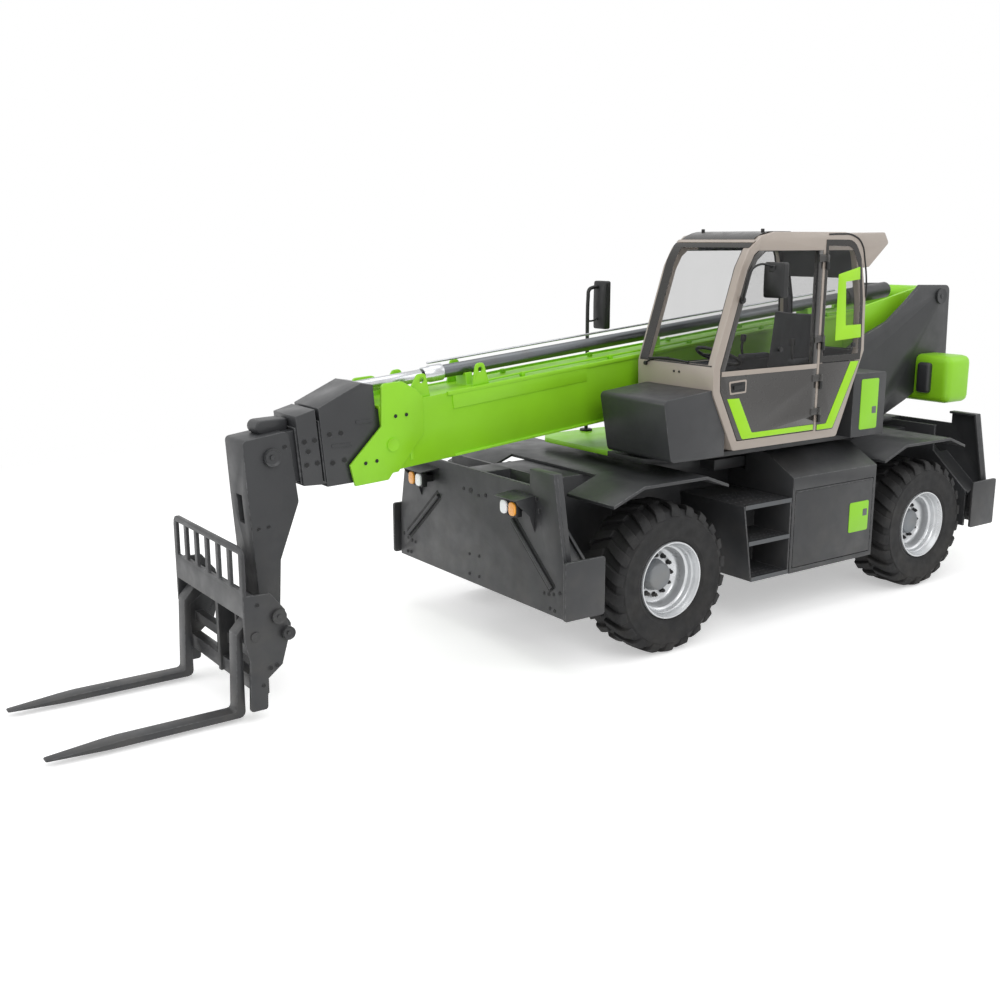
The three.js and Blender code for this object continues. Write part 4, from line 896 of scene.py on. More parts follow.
mirrors = {
    "left": {
        "spot": (0.76, 1.30, 2.79),
        "size": (0.075, 0.19, 0.26),
        "arm": [
            (0.90, 1.113, 2.64), (0.99, 1.2, 2.67), (1.035, 1.27, 2.76), (1.03, 1.30, 2.86),
            (0.97, 1.305, 2.9), (0.86, 1.3, 2.9), (0.79, 1.3, 2.87),
        ],
    },
    "right": {
        "spot": (0.84, -0.58, 2.53),
        "size": (0.07, 0.16, 0.41),
        "post": [
            (0.98, -0.6, 1.45), (0.98, -0.6, 2.0), (0.98, -0.6, 2.6), (0.97, -0.6, 2.66),
            (0.93, -0.598, 2.68), (0.87, -0.59, 2.68), (0.85, -0.585, 2.65),
        ],
        "strut": [(0.98, -0.6, 2.40), (0.95, -0.598, 2.395), (0.9, -0.592, 2.41), (0.875, -0.585, 2.45)],
    },
    "bulge": 0.028,
    "border": 0.018,
}


# A mirror head that looks backwards, with a bulged front and a glass in its rear face.
def mirrorHead(side, body):
    spot, (deep, wide, tall) = mirrors[side]["spot"], mirrors[side]["size"]
    name = f"{side}_mirror_head"
    ends = [
        tuple(middle + way * size / 2 for middle, size in zip(spot, (deep, wide, tall))) for way in (-1, 1)
    ]
    head = startBlock(name, at(*ends[0]), at(*ends[1]))
    editAll(head)
    bpy.ops.mesh.subdivide(number_cuts=3)
    leaveEdit()
    centre = Vector(at(*spot))
    for vertex in head.data.vertices:
        out = vertex.co - centre
        if out.x > 0.01:
            vertex.co.x += mirrors["bulge"] * (1 - (2 * out.y / wide) ** 2) * (1 - (2 * out.z / tall) ** 2)
    finish(head, 0.022, body, blackPlastic, 4, 40)
    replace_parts(head, f"{side}_mirror")
    x, y, z = at(spot[0] - deep / 2, *spot[1:])
    a, b = wide / 2 - mirrors["border"], tall / 2 - mirrors["border"]
    corners = [(y + i, z + j, 0.02) for i, j in ((-a, -b), (a, -b), (a, b), (-a, b))]
    finish(startPlate(name + "_glass", corners, "x", x + 0.001, -0.003), 0.0008, body, mirrorFace)


def makeMirrors():
    x, y, z = mirrors["left"]["spot"]
    mirrorHead("left", "cab_door")
    tube("left_mirror_arm", mirrors["left"]["arm"], 0.0085, "cab_door")
    low, high = (0.745, y - 0.03, z + 0.055), (0.82, y + 0.03, z + 0.11)
    block("left_mirror_clamp", low, high, "cab_door", blackPlastic, 0.01)
    bar("left_mirror_foot", (0.90, 1.1, 2.64), (0.90, 1.122, 2.64), 0.026, "cab_door", sides=24, edge=0.005)
    mirrorHead("right", "turret")
    tube("right_mirror_post", mirrors["right"]["post"], 0.016, "turret")
    tube("right_mirror_strut", mirrors["right"]["strut"], 0.008, "turret")
    bar("right_mirror_base", (0.98, -0.6, 1.441), (0.98, -0.6, 1.46), 0.055, "turret", sides=32, edge=0.005)


lineShell()
makeCabTrim()
makeMirrors()
print("cab trimmed")

# Driver's seat and controls.

seat = {
    "y": 0.69,
    "width": 0.48,
    "pan": 1.88,
    "front": 0.27,
    "rear": -0.17,
    "cushion": 0.12,
    "backTop": 2.5,
    "lean": -9,
    "leanSpot": (-0.15, 0.69, 1.97),
    "seams": (-0.55, 0.55),
    "rest": 0.27,  # how far an armrest is to the side
}


# A cushion: a block pulled in between its corners, with a welt and two sewn channels across Y.
def makeCushion(name, low, high):
    piece = startBlock(name, at(*low), at(*high))
    editAll(piece)
    bpy.ops.mesh.subdivide(number_cuts=11)
    leaveEdit()
    centre = Vector([(a + b) / 2 for a, b in zip(at(*low), at(*high))])
    size = Vector([b - a for a, b in zip(low, high)])
    thin = min(range(3), key=lambda i: size[i])
    wide = [i for i in range(3) if i != thin]
    for vertex in piece.data.vertices:
        out = vertex.co - centre
        part = [2 * out[i] / size[i] for i in range(3)]
        crown = max(0, 1 - part[wide[0]] ** 4) * max(0, 1 - part[wide[1]] ** 4)
        out[thin] *= 0.62 + 0.38 * crown
        for i, j in (wide, wide[::-1]):
            out[i] *= 1 - 0.045 * (1 - part[j] ** 2) * abs(part[i]) - 0.04 * abs(part[thin])
        for seam in seat["seams"]:
            out[thin] *= 1 - 0.14 * math.exp(-(((part[1] - seam) / 0.07) ** 2)) * crown
        vertex.co = centre + out
    applyModifier(piece, "SUBSURF", levels=2, render_levels=2)
    pick(piece)
    bpy.ops.object.shade_smooth()
    hand(piece, "turret", seatCloth)
    return piece


def makeSeat():
    y, half, pan = seat["y"], seat["width"] / 2, seat["pan"]
    low, high = (seat["rear"], y - half, pan), (seat["front"], y + half, pan + seat["cushion"])
    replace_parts(makeCushion("seat_cushion", low, high), "driver_seat")
    back = makeCushion("seat_back", (-0.2, y - half, pan + 0.09), (-0.085, y + half, seat["backTop"]))
    foot = Matrix.Translation(at(*seat["leanSpot"]))
    lean = foot @ Matrix.Rotation(math.radians(seat["lean"]), 4, "Y") @ foot.inverted()
    back.data.transform(lean)
    half -= 0.015
    low, high = (-0.19, y - half, pan - 0.035), (0.24, y + half, pan + 0.02)
    block("seat_pan", low, high, "turret", blackPlastic, 0.015)
    shell = startBlock("seat_back_shell", at(-0.225, y - 0.2, 1.95), at(-0.185, y + 0.2, 2.44))
    roundEdges(shell, 0.016, 3)
    shell.data.transform(lean)
    hand(shell, "turret", blackPlastic)
    base = startBlock("seat_pedestal", at(-0.15, y - 0.16, 1.562), at(0.17, y + 0.16, pan - 0.03))
    editAll(base)
    bpy.ops.mesh.subdivide(number_cuts=6)
    leaveEdit()
    for vertex in base.data.vertices:
        way = 1 if vertex.co.x > at(0, 0, 0)[0] else -1
        vertex.co.x += 0.012 * math.sin((vertex.co.z - slewSpot[2]) * 90) * way
    finish(base, 0.006, "turret", blackPlastic)


def makeArmrests():
    for label, side in (("right", -1), ("left", 1)):
        y = seat["y"] + side * seat["rest"]
        low, high = (-0.16, y - 0.035, 2.1), (0.16, y + 0.035, 2.145)
        block(f"armrest_{label}", low, high, "turret", cabTrim, 0.015)
        top = seat["y"] + side * (seat["rest"] - 0.005)
        tube(f"lever_{label}", [(0.14, y, 2.14), (0.15, y, 2.2), (0.145, top, 2.27)], 0.011, "turret")
        end = (0.14, seat["y"] + side * (seat["rest"] - 0.008), 2.31)
        bar(f"lever_knob_{label}", (0.145, top, 2.25), end, 0.024, "turret", edge=0.008)


makeSeat()
makeArmrests()
block("dashboard", (0.74, 0.40, 1.86), (0.93, 0.98, 2.0), "turret", cabTrim, 0.03)
block("floor_mat", (-0.22, 0.36, 1.5605), (0.86, 1.03, 1.572), "turret", seal, 0.003)
print("seat and controls made")

# Boom and neck.

boomY = -0.05
boomLean = math.radians(5.3)
boomPivot = (-2.685, 2.545)
cylinderOver = 0.092  # the extension cylinder's middle line over the boom's pivot line
sides = (("left", 1), ("right", -1))
# Holes are (x, z, radius) on a face; faces are the left one's y.
boomTrim = {
    "head": {
        "face": 0.172,
        "holes": [
            (3.357, 1.865, 0.014), (3.268, 1.869, 0.014), (3.605, 1.553, 0.014), (3.515, 1.561, 0.014),
        ],
        "boss": (3.384, 1.664, 0.048),
    },
    "section2": {
        "face": 0.138,
        "holes": [
            (3.86, 1.777, 0.017), (3.772, 1.778, 0.017), (3.842, 1.576, 0.017), (3.751, 1.586, 0.017),
        ],
        "padFace": 0.134,
        "pads": [(3.691, 3.851, 1.69), (3.523, 3.659, 1.84)],
        "padThick": 0.009,
    },
    "section3": {
        "face": 0.126,
        "holes": [
            (4.045, 1.74, 0.017), (3.968, 1.745, 0.017), (4.019, 1.672, 0.017), (4.033, 1.58, 0.017),
            (3.952, 1.585, 0.017),
        ],
    },
    "neck": {
        "face": 0.1,
        "holes": [(4.178, 1.718, 0.014), (4.393, 1.176, 0.011), (4.321, 1.181, 0.011)],
        "boss": (4.28, 1.658, 0.062),
        "lug": [(4.112, 1.80), (4.345, 1.80, 0.045), (4.345, 1.893, 0.045), (4.112, 1.90, 0.02)],
    },
    "pipe": [(0.95, -0.02), (1.4, -0.008), (3.5, -0.008), (5.1, -0.008), (5.3, -0.014)],
    "pipeAcross": 0.128,
    "clamps": {"count": 5, "first": 1.35, "pitch": 0.88, "long": 0.034},
    "ribs": (1.2, 5.95),
    # along, across, over and the rounding of their edges
    "strips": {
        "side_band": ((4.316, 5.58), (0.194, 0.208), (-0.155, -0.03), 0.004),
        "edge_strip": ((0.93, 5.62), (0.186, 0.212), (-0.052, -0.022), 0.004),
        "lower_strip": ((0.93, 5.6), (0.186, 0.208), (-0.508, -0.488), 0.003),
    },
    "lugs": [(5.233, 5.387, 5.303), (5.754, 5.972, 5.813)],  # rear, front and top
    # how far along the boom these are
    "glandAlong": 5.62,
    "headAlong": 0.9,
    "rearHeadAlong": 0.65,
    "sleeve": (5.72, 6.33),
    "farPipe": (1.0, 3.0, 5.6),
    "gland": [
        (0.0001, -0.09), (0.056, -0.09), (0.062, -0.084), (0.062, 0.02), (0.056, 0.03), (0.056, 0.08),
        (0.0001, 0.08),
    ],
    "rearHead": [(0.0001, -0.3), (0.07, -0.3), (0.076, -0.29), (0.076, 0.29), (0.07, 0.3), (0.0001, 0.3)],
}


# A spot on the boom: how far along it, out to its left and over it, from the pivot pin.
def onBoom(along, across, over):
    x = boomPivot[0] + along * math.cos(boomLean) + over * math.sin(boomLean)
    z = boomPivot[1] - along * math.sin(boomLean) + over * math.cos(boomLean)
    return at(x, boomY + across, z)


def boomTurn():
    return Matrix.Translation(onBoom(0, 0, 0)) @ Matrix.Rotation(boomLean, 4, "Y")


# A block in the boom's own lengths, then leaned with it. Across is turned to the side that out says.
def boomBlock(name, along, across, over, out, material, edge):
    near, far = sorted(out * a for a in across)
    piece = startBlock(name, (along[0], near, over[0]), (along[1], far, over[1]))
    roundEdges(piece, edge)
    piece.data.transform(boomTurn())
    return hand(piece, "boom", material)


# Insets the end of a bar that faces this way, and sinks it.
def sinkCap(piece, way, border, depth):
    editAll(piece)
    mesh = bmesh.from_edit_mesh(piece.data)
    for face in mesh.faces:
        face.select = face.normal.dot(way) > 0.9
    bmesh.update_edit_mesh(piece.data)
    bpy.ops.mesh.inset(thickness=border)
    bpy.ops.transform.translate(value=tuple(-way * depth))
    leaveEdit()


# Drilled holes, all in one piece: a raised lip for each, and in it a black disc that is painted shade for the
# hole's dark inside. Way is where the face looks.
def holes(name, spots, way, body, lipMaterial):
    lips, holeShades = [], []
    way = Vector(way)
    for x, y, z, radius in spots:
        spot = Vector(at(x, y, z))
        lip = startBar("lip", spot - way * 0.004, spot + way * 0.0035, radius * 1.28, 24)
        sinkCap(lip, way, radius * 0.28, 0.003)
        lips.append(lip)
        # painted shade: a black disc standing for the shadowed inside of the hole
        holeShades.append(startBar("disc", spot - way * 0.006, spot + way * 0.0014, radius * 0.98, 24))
    finish(joined(name + "_lips", lips), 0.0008, body, lipMaterial, 1, 30)
    finish(joined(name + "_hollows", holeShades), 0.0006, body, seal, 1, 30)


# Holes in a side face, mirrored across the boom's middle for the right side.
def sideHoles(name, spots, y, out, body, material=darkPaint):
    holes(name, [(x, y, z, radius) for x, z, radius in spots], (0, out, 0), body, material)


# A round boss with a chamfered rim, a sunk face and a central bolt.
def boss(name, x, z, y, out, radius, body, material, tall=0.016, bolt=True):
    way = Vector((0, out, 0))
    spot = Vector(at(x, y, z))
    disc = startBar(name, spot - way * 0.01, spot + way * tall, radius, 40)
    sinkCap(disc, way, radius * 0.26, tall * 0.45)
    parts = [disc]
    if bolt:
        parts.append(startBar("bolt", spot, spot + way * (tall * 0.9), radius * 0.3, 6))
    return finish(joined(name, parts), min(0.003, radius * 0.05), body, material, 2, 30)


# The face of a side, given the left one's y.
def acrossBoom(y, out):
    return y if out > 0 else 2 * boomY - y


def makeBoomHeads(label, out):
    head, second, third, neck = (boomTrim[key] for key in ("head", "section2", "section3", "neck"))
    face = acrossBoom(head["face"], out)
    sideHoles(f"head_plate_{label}", head["holes"], face, out, "boom", greenPaint)
    x, z, radius = head["boss"]
    boss(f"head_plate_boss_{label}", x, z, face, out, radius, "boom", greenPaint, 0.012, False)
    sideHoles(f"section_2_{label}", second["holes"], acrossBoom(second["face"], out), out, "boom_section_2")
    sideHoles(f"section_3_{label}", third["holes"], acrossBoom(third["face"], out), out, "boom_section_3")
    for i, (x0, x1, z) in enumerate(second["pads"]):
        outline = [
            (x0, z - 0.014, 0.013), (x1, z - 0.01, 0.013), (x1, z + 0.018, 0.013), (x0, z + 0.014, 0.013),
        ]
        y = acrossBoom(second["padFace"], out)
        name = f"section_2_pad_{label}_{i}"
        uprightPlate(name, outline, y, second["padThick"] * out, "boom_section_2", darkPaint, 0.003)
    face = acrossBoom(neck["face"], out)
    x, z, radius = neck["boss"]
    boss(f"neck_boss_{label}", x, z, face, out, radius, "gooseneck", darkPaint, 0.03)
    sideHoles(f"neck_{label}", neck["holes"], face, out, "gooseneck")


def makeBoomSide(label, out):
    across = out * boomTrim["pipeAcross"]
    pipe = tubeAlong(f"boom_pipe_{label}", [onBoom(u, across, v) for u, v in boomTrim["pipe"]], 0.008)
    hand(pipe, "boom", greenPaint)
    clamps = boomTrim["clamps"]
    for i in range(clamps["count"]):
        u = clamps["first"] + i * clamps["pitch"]
        name = f"pipe_clamp_{label}_{i}"
        boomBlock(name, (u, u + clamps["long"]), (0.112, 0.146), (-0.03, 0.003), out, greenPaint, 0.003)
    for i, u in enumerate(boomTrim["ribs"]):
        name = f"side_rib_{label}_{i}"
        boomBlock(name, (u, u + 0.03), (0.2, 0.206), (-0.46, -0.08), out, greenPaint, 0.002)
    for name, (along, across, over, edge) in boomTrim["strips"].items():
        boomBlock(f"{name}_{label}", along, across, over, out, greenPaint, edge)


def makeLiftingLugs():
    for i, (rear, front, u) in enumerate(boomTrim["lugs"]):
        eye = [(rear, -0.035), (front, -0.035), (u + 0.035, 0.138, 0.03), (u - 0.035, 0.138, 0.03)]
        for label, y in (("left", 0.165), ("right", -0.18)):
            lug = startPlate(f"lifting_lug_{label}_{i}", eye, "y", y, 0.018)
            cutAway(lug, startBar("lug_bore", (u, y - 0.1, 0.09), (u, y + 0.1, 0.09), 0.02, 24))
            roundEdges(lug, 0.003)
            lug.data.transform(boomTurn())
            hand(lug, "boom", greenPaint)


# A turned piece laid along the boom, on the extension cylinder's middle line.
def alongCylinder(along):
    return boomTurn() @ Matrix.Translation((along, 0, cylinderOver))


def makeCylinderEnds():
    flat = Matrix.Rotation(math.radians(-90), 4, "Z")
    collar = startTurned("cylinder_head", boomTrim["gland"], (0, 0, 0), 40)
    collar.data.transform(flat)
    roundEdges(collar, 0.003)
    front = copied(collar, "cylinder_gland", alongCylinder(boomTrim["glandAlong"]))
    collar.data.transform(alongCylinder(boomTrim["headAlong"]))
    hand(collar, "boom", darkPaint)
    hand(front, "boom", brightSteel)
    rear = startTurned("cylinder_rear_head", boomTrim["rearHead"], (0, 0, 0), 40)
    rear.data.transform(flat)
    rear.data.transform(alongCylinder(boomTrim["rearHeadAlong"]))
    finish(rear, 0.003, "boom", darkPaint)
    start, end = (onBoom(u, 0, cylinderOver) for u in boomTrim["sleeve"])
    sleeve = startBar("cylinder_rod_sleeve", start, end, 0.047, 40)
    finish(sleeve, 0.003, "boom_section_2", brightSteel)
    far = tubeAlong("far_pipe", [onBoom(u, -0.08, 0.16) for u in boomTrim["farPipe"]], 0.009)
    hand(far, "boom", brightSteel)


def makeTurretCaps(label, out):
    y = boomY + out * 0.392
    boss(f"pivot_cap_{label}", *boomPivot, y, out, 0.075, "turret", darkPaint, 0.014)
    low, high = sorted((boomY + out * 0.43, boomY + out * 0.57))
    name = f"counterweight_bracket_{label}"
    block(name, (-2.40, low, 1.64), (-2.32, high, 1.93), "turret", darkPaint, 0.03)
    boss(f"lift_pin_cap_{label}", -1.84, 1.556, y, out, 0.066, "turret", darkPaint, 0.014)


for label, out in sides:
    makeBoomHeads(label, out)
    makeBoomSide(label, out)
makeLiftingLugs()
uprightPlate("neck_top_lug", boomTrim["neck"]["lug"], boomY - 0.09, 0.15, "gooseneck", darkPaint, 0.012, 3)
makeCylinderEnds()
for label, out in sides:
    makeTurretCaps(label, out)
print("boom trimmed")

# Carriage.

carriageTrim = {
    "cheek": 0.55,
    "holes": [(4.50, 0.37, 0.014), (4.545, 0.36, 0.014), (4.60, 0.25, 0.011), (4.62, 0.80, 0.012)],
    # x, z, radius, height, and whether it has a bolt
    "bosses": {
        "top": (4.478, 0.703, 0.05, 0.022, True),
        "mid": (4.419, 0.582, 0.045, 0.03, True),
        "front": (4.643, 0.593, 0.032, 0.01, False),
    },
    "forks": (-0.46, 0.46),
    "shaft": (4.572, 0.7),
    "collar": [(0.0285, -0.016), (0.044, -0.016), (0.044, 0.016), (0.0285, 0.016)],
}


def makeCarriageTrim():
    for label, out in sides:
        y = acrossBoom(carriageTrim["cheek"], out)
        for place, (x, z, radius, tall, bolt) in carriageTrim["bosses"].items():
            boss(f"carriage_boss_{label}_{place}", x, z, y, out, radius, "carriage", darkPaint, tall, bolt)
        sideHoles(f"cheek_{label}", carriageTrim["holes"], y, out, "carriage")
    x, z = carriageTrim["shaft"]
    for side, offset in zip(("right", "left"), carriageTrim["forks"]):
        for j, dy in enumerate((-0.085, 0.085)):
            spot = at(x, boomY + offset + dy, z)
            collar = startTurned(f"fork_collar_{side}_{j}", carriageTrim["collar"], spot, 32)
            finish(collar, 0.003, "carriage", boltSteel)


makeCarriageTrim()
print("carriage trimmed")

# Stabiliser frames, lamps and side panels.

plateFace = {"front": 2.575, "rear": -2.5}
lamp = {
    "y": 0.64,
    "z": 1.205,
    "wide": 0.092,
    "tall": 0.115,
    "deep": 0.05,
    "gap": 0.104,
    "reach": 0.085,  # how far its back stands off the plate
    "border": 0.008,
    "arm": (0.09, 0.05, 0.03),  # its length, half its width and half its height
    "hoodZ": 1.285,
    "hoodWide": 0.27,
    "gussetY": 0.128,  # outwards from the middle of the pair
    "gussetThick": 0.008,
    "hood": [(0, 0.0), (0.17, -0.012), (0.175, -0.004), (0, 0.014)],
    "gusset": [(0, 0.0), (0.165, -0.01), (0.15, -0.04), (0.05, -0.13), (0, -0.26)],
}


def makeLampPair(end, out, label, side):
    face = plateFace[end]
    mid = lamp["y"] * side
    stem = f"{end}_{label}"
    for part, y, thickness, edge in (
        ("hood", mid - lamp["hoodWide"] / 2, lamp["hoodWide"], 0.003),
        ("gusset", mid + side * lamp["gussetY"], lamp["gussetThick"] * side, 0.002),
    ):
        outline = [(face + out * a, lamp["hoodZ"] + b) for a, b in lamp[part]]
        uprightPlate(f"{stem}_lamp_{part}", outline, y, thickness, "chassis", darkPaint, edge)
    backs = []
    back, front = face + out * lamp["reach"], face + out * (lamp["reach"] + lamp["deep"])
    inner = clearLens if out > 0 else redLens
    low, high = lamp["z"] - lamp["tall"] / 2, lamp["z"] + lamp["tall"] / 2
    for i, (way, material) in enumerate(((-side, inner), (side, orangeLens))):
        y = mid + way * lamp["gap"] / 2
        x0, x1 = sorted((back, front))
        half = lamp["wide"] / 2
        backs.append(startBlock("lamp_back", at(x0, y - half, low), at(x1, y + half, high)))
        x0, x1 = sorted((front - out * 0.004, front + out * 0.016))
        half, tall = half - lamp["border"], lamp["tall"] / 2 - lamp["border"]
        ends = ((-half, -tall), (half, -tall), (half, tall), (-half, tall))
        corners = [(*at(0, y + a, lamp["z"] + b)[1:], 0.03) for a, b in ends]
        cover = startPlate(f"{stem}_lens_{i}", corners, "x", at(x0, 0, 0)[0], x1 - x0)
        finish(cover, 0.006, "chassis", material, 3, 40)
    length, half, tall = lamp["arm"]
    x0, x1 = sorted((face - out * 0.002, face + out * length))
    ends = at(x0, mid - half, lamp["z"] - tall), at(x1, mid + half, lamp["z"] + tall)
    backs.append(startBlock("lamp_arm", *ends))
    finish(joined(stem + "_lamp_housing", backs), 0.006, "chassis", blackPlastic, 3)


# On the plate, (y, z, radius); the second list is on both sides.
plateHoles = [
    (-0.146, 1.193, 0.012), (-0.05, 1.196, 0.02), (0.06, 1.174, 0.012), (0.153, 1.191, 0.014),
    (0.8, 1.281, 0.014), (0.836, 1.196, 0.018), (-0.8, 1.281, 0.014), (-0.836, 1.196, 0.018),
    (-0.071, 0.683, 0.01), (-0.072, 0.524, 0.01), (0.063, 0.694, 0.01), (0.063, 0.53, 0.01),
]
legHoles = [
    (0.889, 0.605, 0.011), (0.943, 0.61, 0.014), (1.0, 0.622, 0.011),
    (1.07, 0.647, 0.014), (0.958, 0.505, 0.012), (1.012, 0.5, 0.012),
]
# The slot's outline, where a black plate is painted shade for the slot's dark inside; the rod runs along the slot.
slotShadeBand = [(0.47, 1.05), (0.53, 1.115), (1.02, 0.69), (0.96, 0.622)]
slotRod = ((0.505, 1.075), (0.75, 0.86), (0.985, 0.66))


def makePlateTrim(end, out):
    face = plateFace[end]
    spots = plateHoles + [(side * y, z, radius) for side in (1, -1) for y, z, radius in legHoles]
    holes(f"{end}_plate", [(face, *spot) for spot in spots], (out, 0, 0), "chassis", darkPaint)
    for label, side in sides:
        corners = [(*at(0, side * y, z)[1:], 0.012) for y, z in slotShadeBand]
        # painted shade: a black plate standing for the shadowed inside of the slot
        slot = startPlate(f"{end}_{label}_slot", corners, "x", at(face - out * 0.004, 0, 0)[0], out * 0.006)
        finish(slot, 0.0008, "chassis", seal, 1)
        route = [at(face + out * 0.008, side * y, z) for y, z in slotRod]
        hand(tubeAlong(f"{end}_{label}_slot_rod", route, 0.016), "chassis", darkPaint)


# Body, the two opposite (x, z) corners, and the y of the face.
greenPanels = {
    "left_box_panel": ("left_box_door", (-0.77, 0.64), (-0.52, 0.90), 1.1),
    "rear_locker_panel": ("turret", (-0.93, 1.50), (-0.70, 1.93), 1.0),
}


def corners4(low, high, radius):
    return [(*low, radius), (high[0], low[1], radius), (*high, radius), (low[0], high[1], radius)]


def makePanels():
    for name, (body, low, high, y) in greenPanels.items():
        uprightPlate(name, corners4(low, high, 0.018), y - 0.002, 0.006, body, greenPaint, 0.002)
        patch = corners4((low[0] + 0.02, low[1] + 0.13), (low[0] + 0.075, low[1] + 0.19), 0.004)
        uprightPlate(name + "_blank_plate", patch, y + 0.003, 0.0022, body, greyPlastic, 0.0006)


grille = {
    "slats": 9,
    "half": 0.45,
    "y": -1.1,
    "depth": (-1.112, -1.098),
    "bottom": 0.6,
    "pitch": 0.045,
    "tall": 0.026,
    "lean": -28,
}


def makeGrille():
    slats = []
    for i in range(grille["slats"]):
        z = grille["bottom"] + i * grille["pitch"]
        outer, inner = grille["depth"]
        low, high = at(-grille["half"], outer, z), at(grille["half"], inner, z + grille["tall"])
        slat = startBlock("slat", low, high)
        middle = Matrix.Translation(at(0, grille["y"], z))
        lean = Matrix.Rotation(math.radians(grille["lean"]), 4, "X")
        slat.data.transform(middle @ lean @ middle.inverted())
        slats.append(slat)
    finish(joined("engine_grille", slats), 0.002, "engine_door", blackPlastic)


treads = {
    # z, front, rows and their pitch
    "steps": ((1.04, 0.757, 5, 0.09), (0.74, 0.7, 3, 0.06), (0.44, 0.655, 3, 0.06)),
    "rear": 0.222,
    "edge": 1.085,
    "outside": 1.104,
    "columns": 9,
    "first": (0.25, 1.05),  # where the first stud is
    "rowShort": 0.29,  # how much less a row is than its tread's front
    "half": (0.012, 0.004),
    "stagger": 0.004,
}


def makeTreads():
    a, b = treads["half"]
    firstX, firstY = treads["first"]
    for i, (z, front, rows, pitch) in enumerate(treads["steps"]):
        low, high = at(treads["rear"], treads["edge"], z - 0.032), at(front, treads["outside"], z + 0.004)
        studs = [startBlock("nosing", low, high)]
        gap = (front - treads["rowShort"]) / (treads["columns"] - 1)
        for row in range(rows):
            for column in range(treads["columns"]):
                x = firstX + column * gap + treads["stagger"] * (row % 2)
                y = firstY - row * pitch
                studs.append(startBlock("stud", at(x - a, y - b, z - 0.001), at(x + a, y + b, z + 0.003)))
        finish(joined(f"step_tread_{i}", studs), 0.0012, "chassis", treadMetal, 1)


for end, out in (("front", 1), ("rear", -1)):
    for label, side in sides:
        makeLampPair(end, out, label, side)
for end, out in (("front", 1), ("rear", -1)):
    makePlateTrim(end, out)
makePanels()
makeGrille()
makeTreads()
print("chassis trimmed")


# Studio.

studio = {
    "floor": 120,
    "paperGlow": 0.42,
    "paperNear": 5.5,  # metres from the middle, where the shadow starts to fade
    "paperFar": 10.0,
    "cameraSpot": (7.481, 7.269, 3.077),
    "turn": 35.308,
    "dip": 12.535,
    "lens": 42.07,
    "lights": [
        ("key", (4, 9, 9), 7, 380),
        ("side", (11, -3, 6), 6, 220),
        ("back", (-9, 6, 8), 7, 200),
        ("top", (0, 0, 12), 9, 300),
    ],
}


def whiteWhereSeen(tree):
    path = tree.nodes.new("ShaderNodeLightPath")
    seen = tree.nodes.new("ShaderNodeMath")
    seen.operation = "MAXIMUM"
    tree.links.new(path.outputs["Is Camera Ray"], seen.inputs[0])
    tree.links.new(path.outputs["Is Glossy Ray"], seen.inputs[1])
    also = tree.nodes.new("ShaderNodeMath")
    also.operation = "MAXIMUM"
    tree.links.new(seen.outputs[0], also.inputs[0])
    tree.links.new(path.outputs["Is Transmission Ray"], also.inputs[1])
    return also.outputs[0]


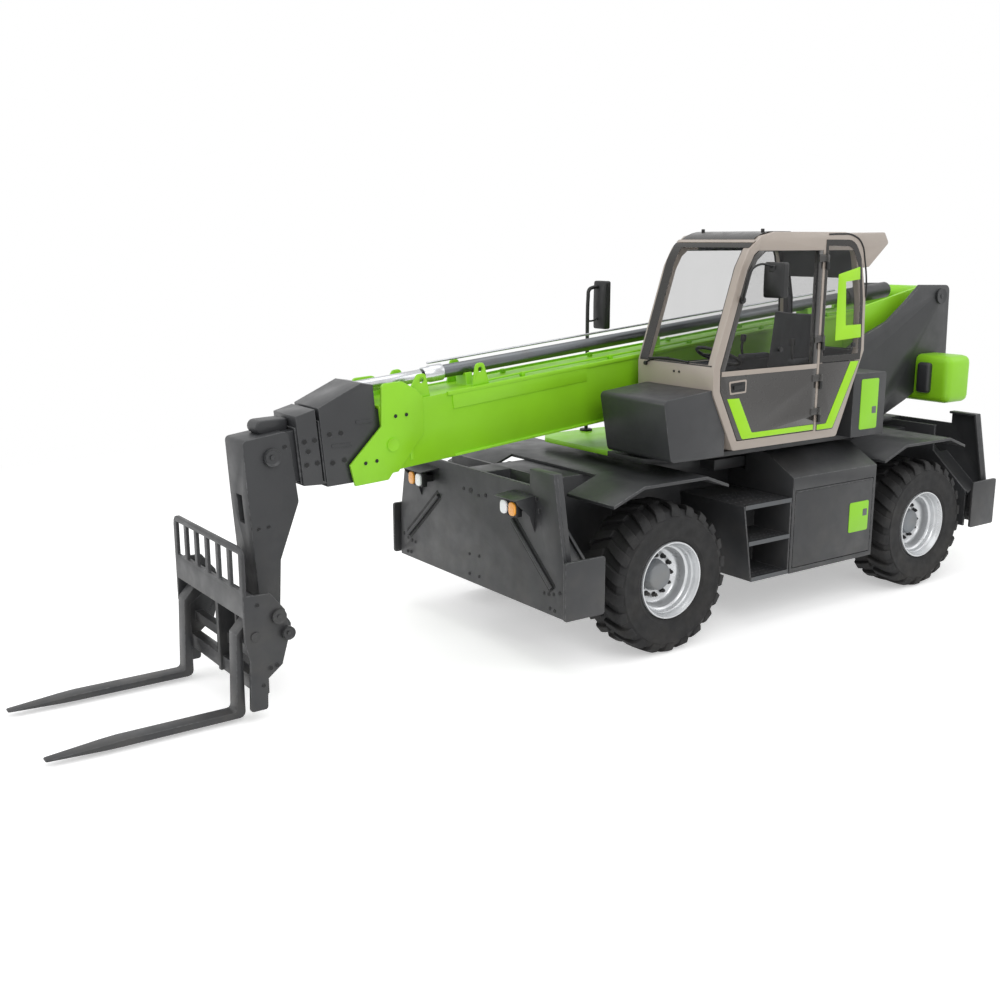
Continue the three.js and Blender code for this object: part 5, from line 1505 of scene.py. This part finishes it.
# The paper keeps the shadow: it shows white times how much light reaches it, brightened by a fixed amount.
def paperWhite(tree, spot):
    output = tree.nodes["Material Output"]
    shader = tree.nodes["Principled BSDF"]
    glow = tree.nodes.new("ShaderNodeEmission")
    glow.inputs["Strength"].default_value = studio["paperGlow"]
    total = tree.nodes.new("ShaderNodeAddShader")
    tree.links.new(shader.outputs[0], total.inputs[0])
    tree.links.new(glow.outputs[0], total.inputs[1])
    # further out it fades to plain white, so that no horizon shows
    length = tree.nodes.new("ShaderNodeVectorMath")
    length.operation = "LENGTH"
    tree.links.new(spot, length.inputs[0])
    far = remap(tree, length.outputs["Value"], studio["paperNear"], studio["paperFar"], 0, 1)
    white = tree.nodes.new("ShaderNodeEmission")
    faded = tree.nodes.new("ShaderNodeMixShader")
    tree.links.new(far, faded.inputs[0])
    tree.links.new(total.outputs[0], faded.inputs[1])
    tree.links.new(white.outputs[0], faded.inputs[2])
    mix = tree.nodes.new("ShaderNodeMixShader")
    tree.links.new(whiteWhereSeen(tree), mix.inputs[0])
    tree.links.new(shader.outputs[0], mix.inputs[1])
    tree.links.new(faded.outputs[0], mix.inputs[2])
    tree.links.new(mix.outputs[0], output.inputs["Surface"])


def makeFloor():
    deselect()
    bpy.ops.mesh.primitive_plane_add(size=studio["floor"], location=(0, 0, -0.0005))
    floor = justAdded("studio_floor")
    material, tree, shader, spot = newMaterial("floor paper")
    shader.inputs["Roughness"].default_value = 0.9
    mottle = remap(tree, noise(tree, spot, 3, 3), 0.3, 0.7, 0, 1)
    tree.links.new(
        blendColours(tree, mottle, (0.9, 0.9, 0.9, 1), (0.92, 0.92, 0.92, 1)), shader.inputs["Base Color"],
    )
    paperWhite(tree, spot)
    floor.data.materials.append(material)


def makeWorld():
    world = bpy.data.worlds.new("studio air")
    bpy.context.scene.world = world
    world.use_nodes = True
    tree = world.node_tree
    background = tree.nodes["Background"]
    background.inputs["Color"].default_value = (1, 1, 1, 1)
    strength = remap(tree, whiteWhereSeen(tree), 0, 1, 0.62, 1.0)
    tree.links.new(strength, background.inputs["Strength"])


def makeLights():
    for name, spot, size, power in studio["lights"]:
        deselect()
        bpy.ops.object.light_add(type="AREA", location=spot)
        lamp = bpy.context.object
        lamp.name = name
        lamp.data.size = size
        lamp.data.energy = power
        lamp.rotation_euler = (Vector((0, 0, 1.2)) - Vector(spot)).to_track_quat("-Z", "Y").to_euler()


def makeCamera():
    deselect()
    turn, dip = math.radians(studio["turn"]), math.radians(studio["dip"])
    look = Vector((-math.sin(turn) * math.cos(dip), -math.cos(turn) * math.cos(dip), -math.sin(dip)))
    bpy.ops.object.camera_add(
        location=at(*studio["cameraSpot"]), rotation=look.to_track_quat("-Z", "Y").to_euler()
    )
    camera = bpy.context.object
    camera.data.lens = studio["lens"]
    camera.data.sensor_width = 36
    camera.data.clip_end = 200
    bpy.context.scene.camera = camera


makeFloor()
makeWorld()
makeLights()
makeCamera()
bpy.context.scene.view_settings.view_transform = "Standard"
bpy.context.view_layer.update()
print("studio ready")
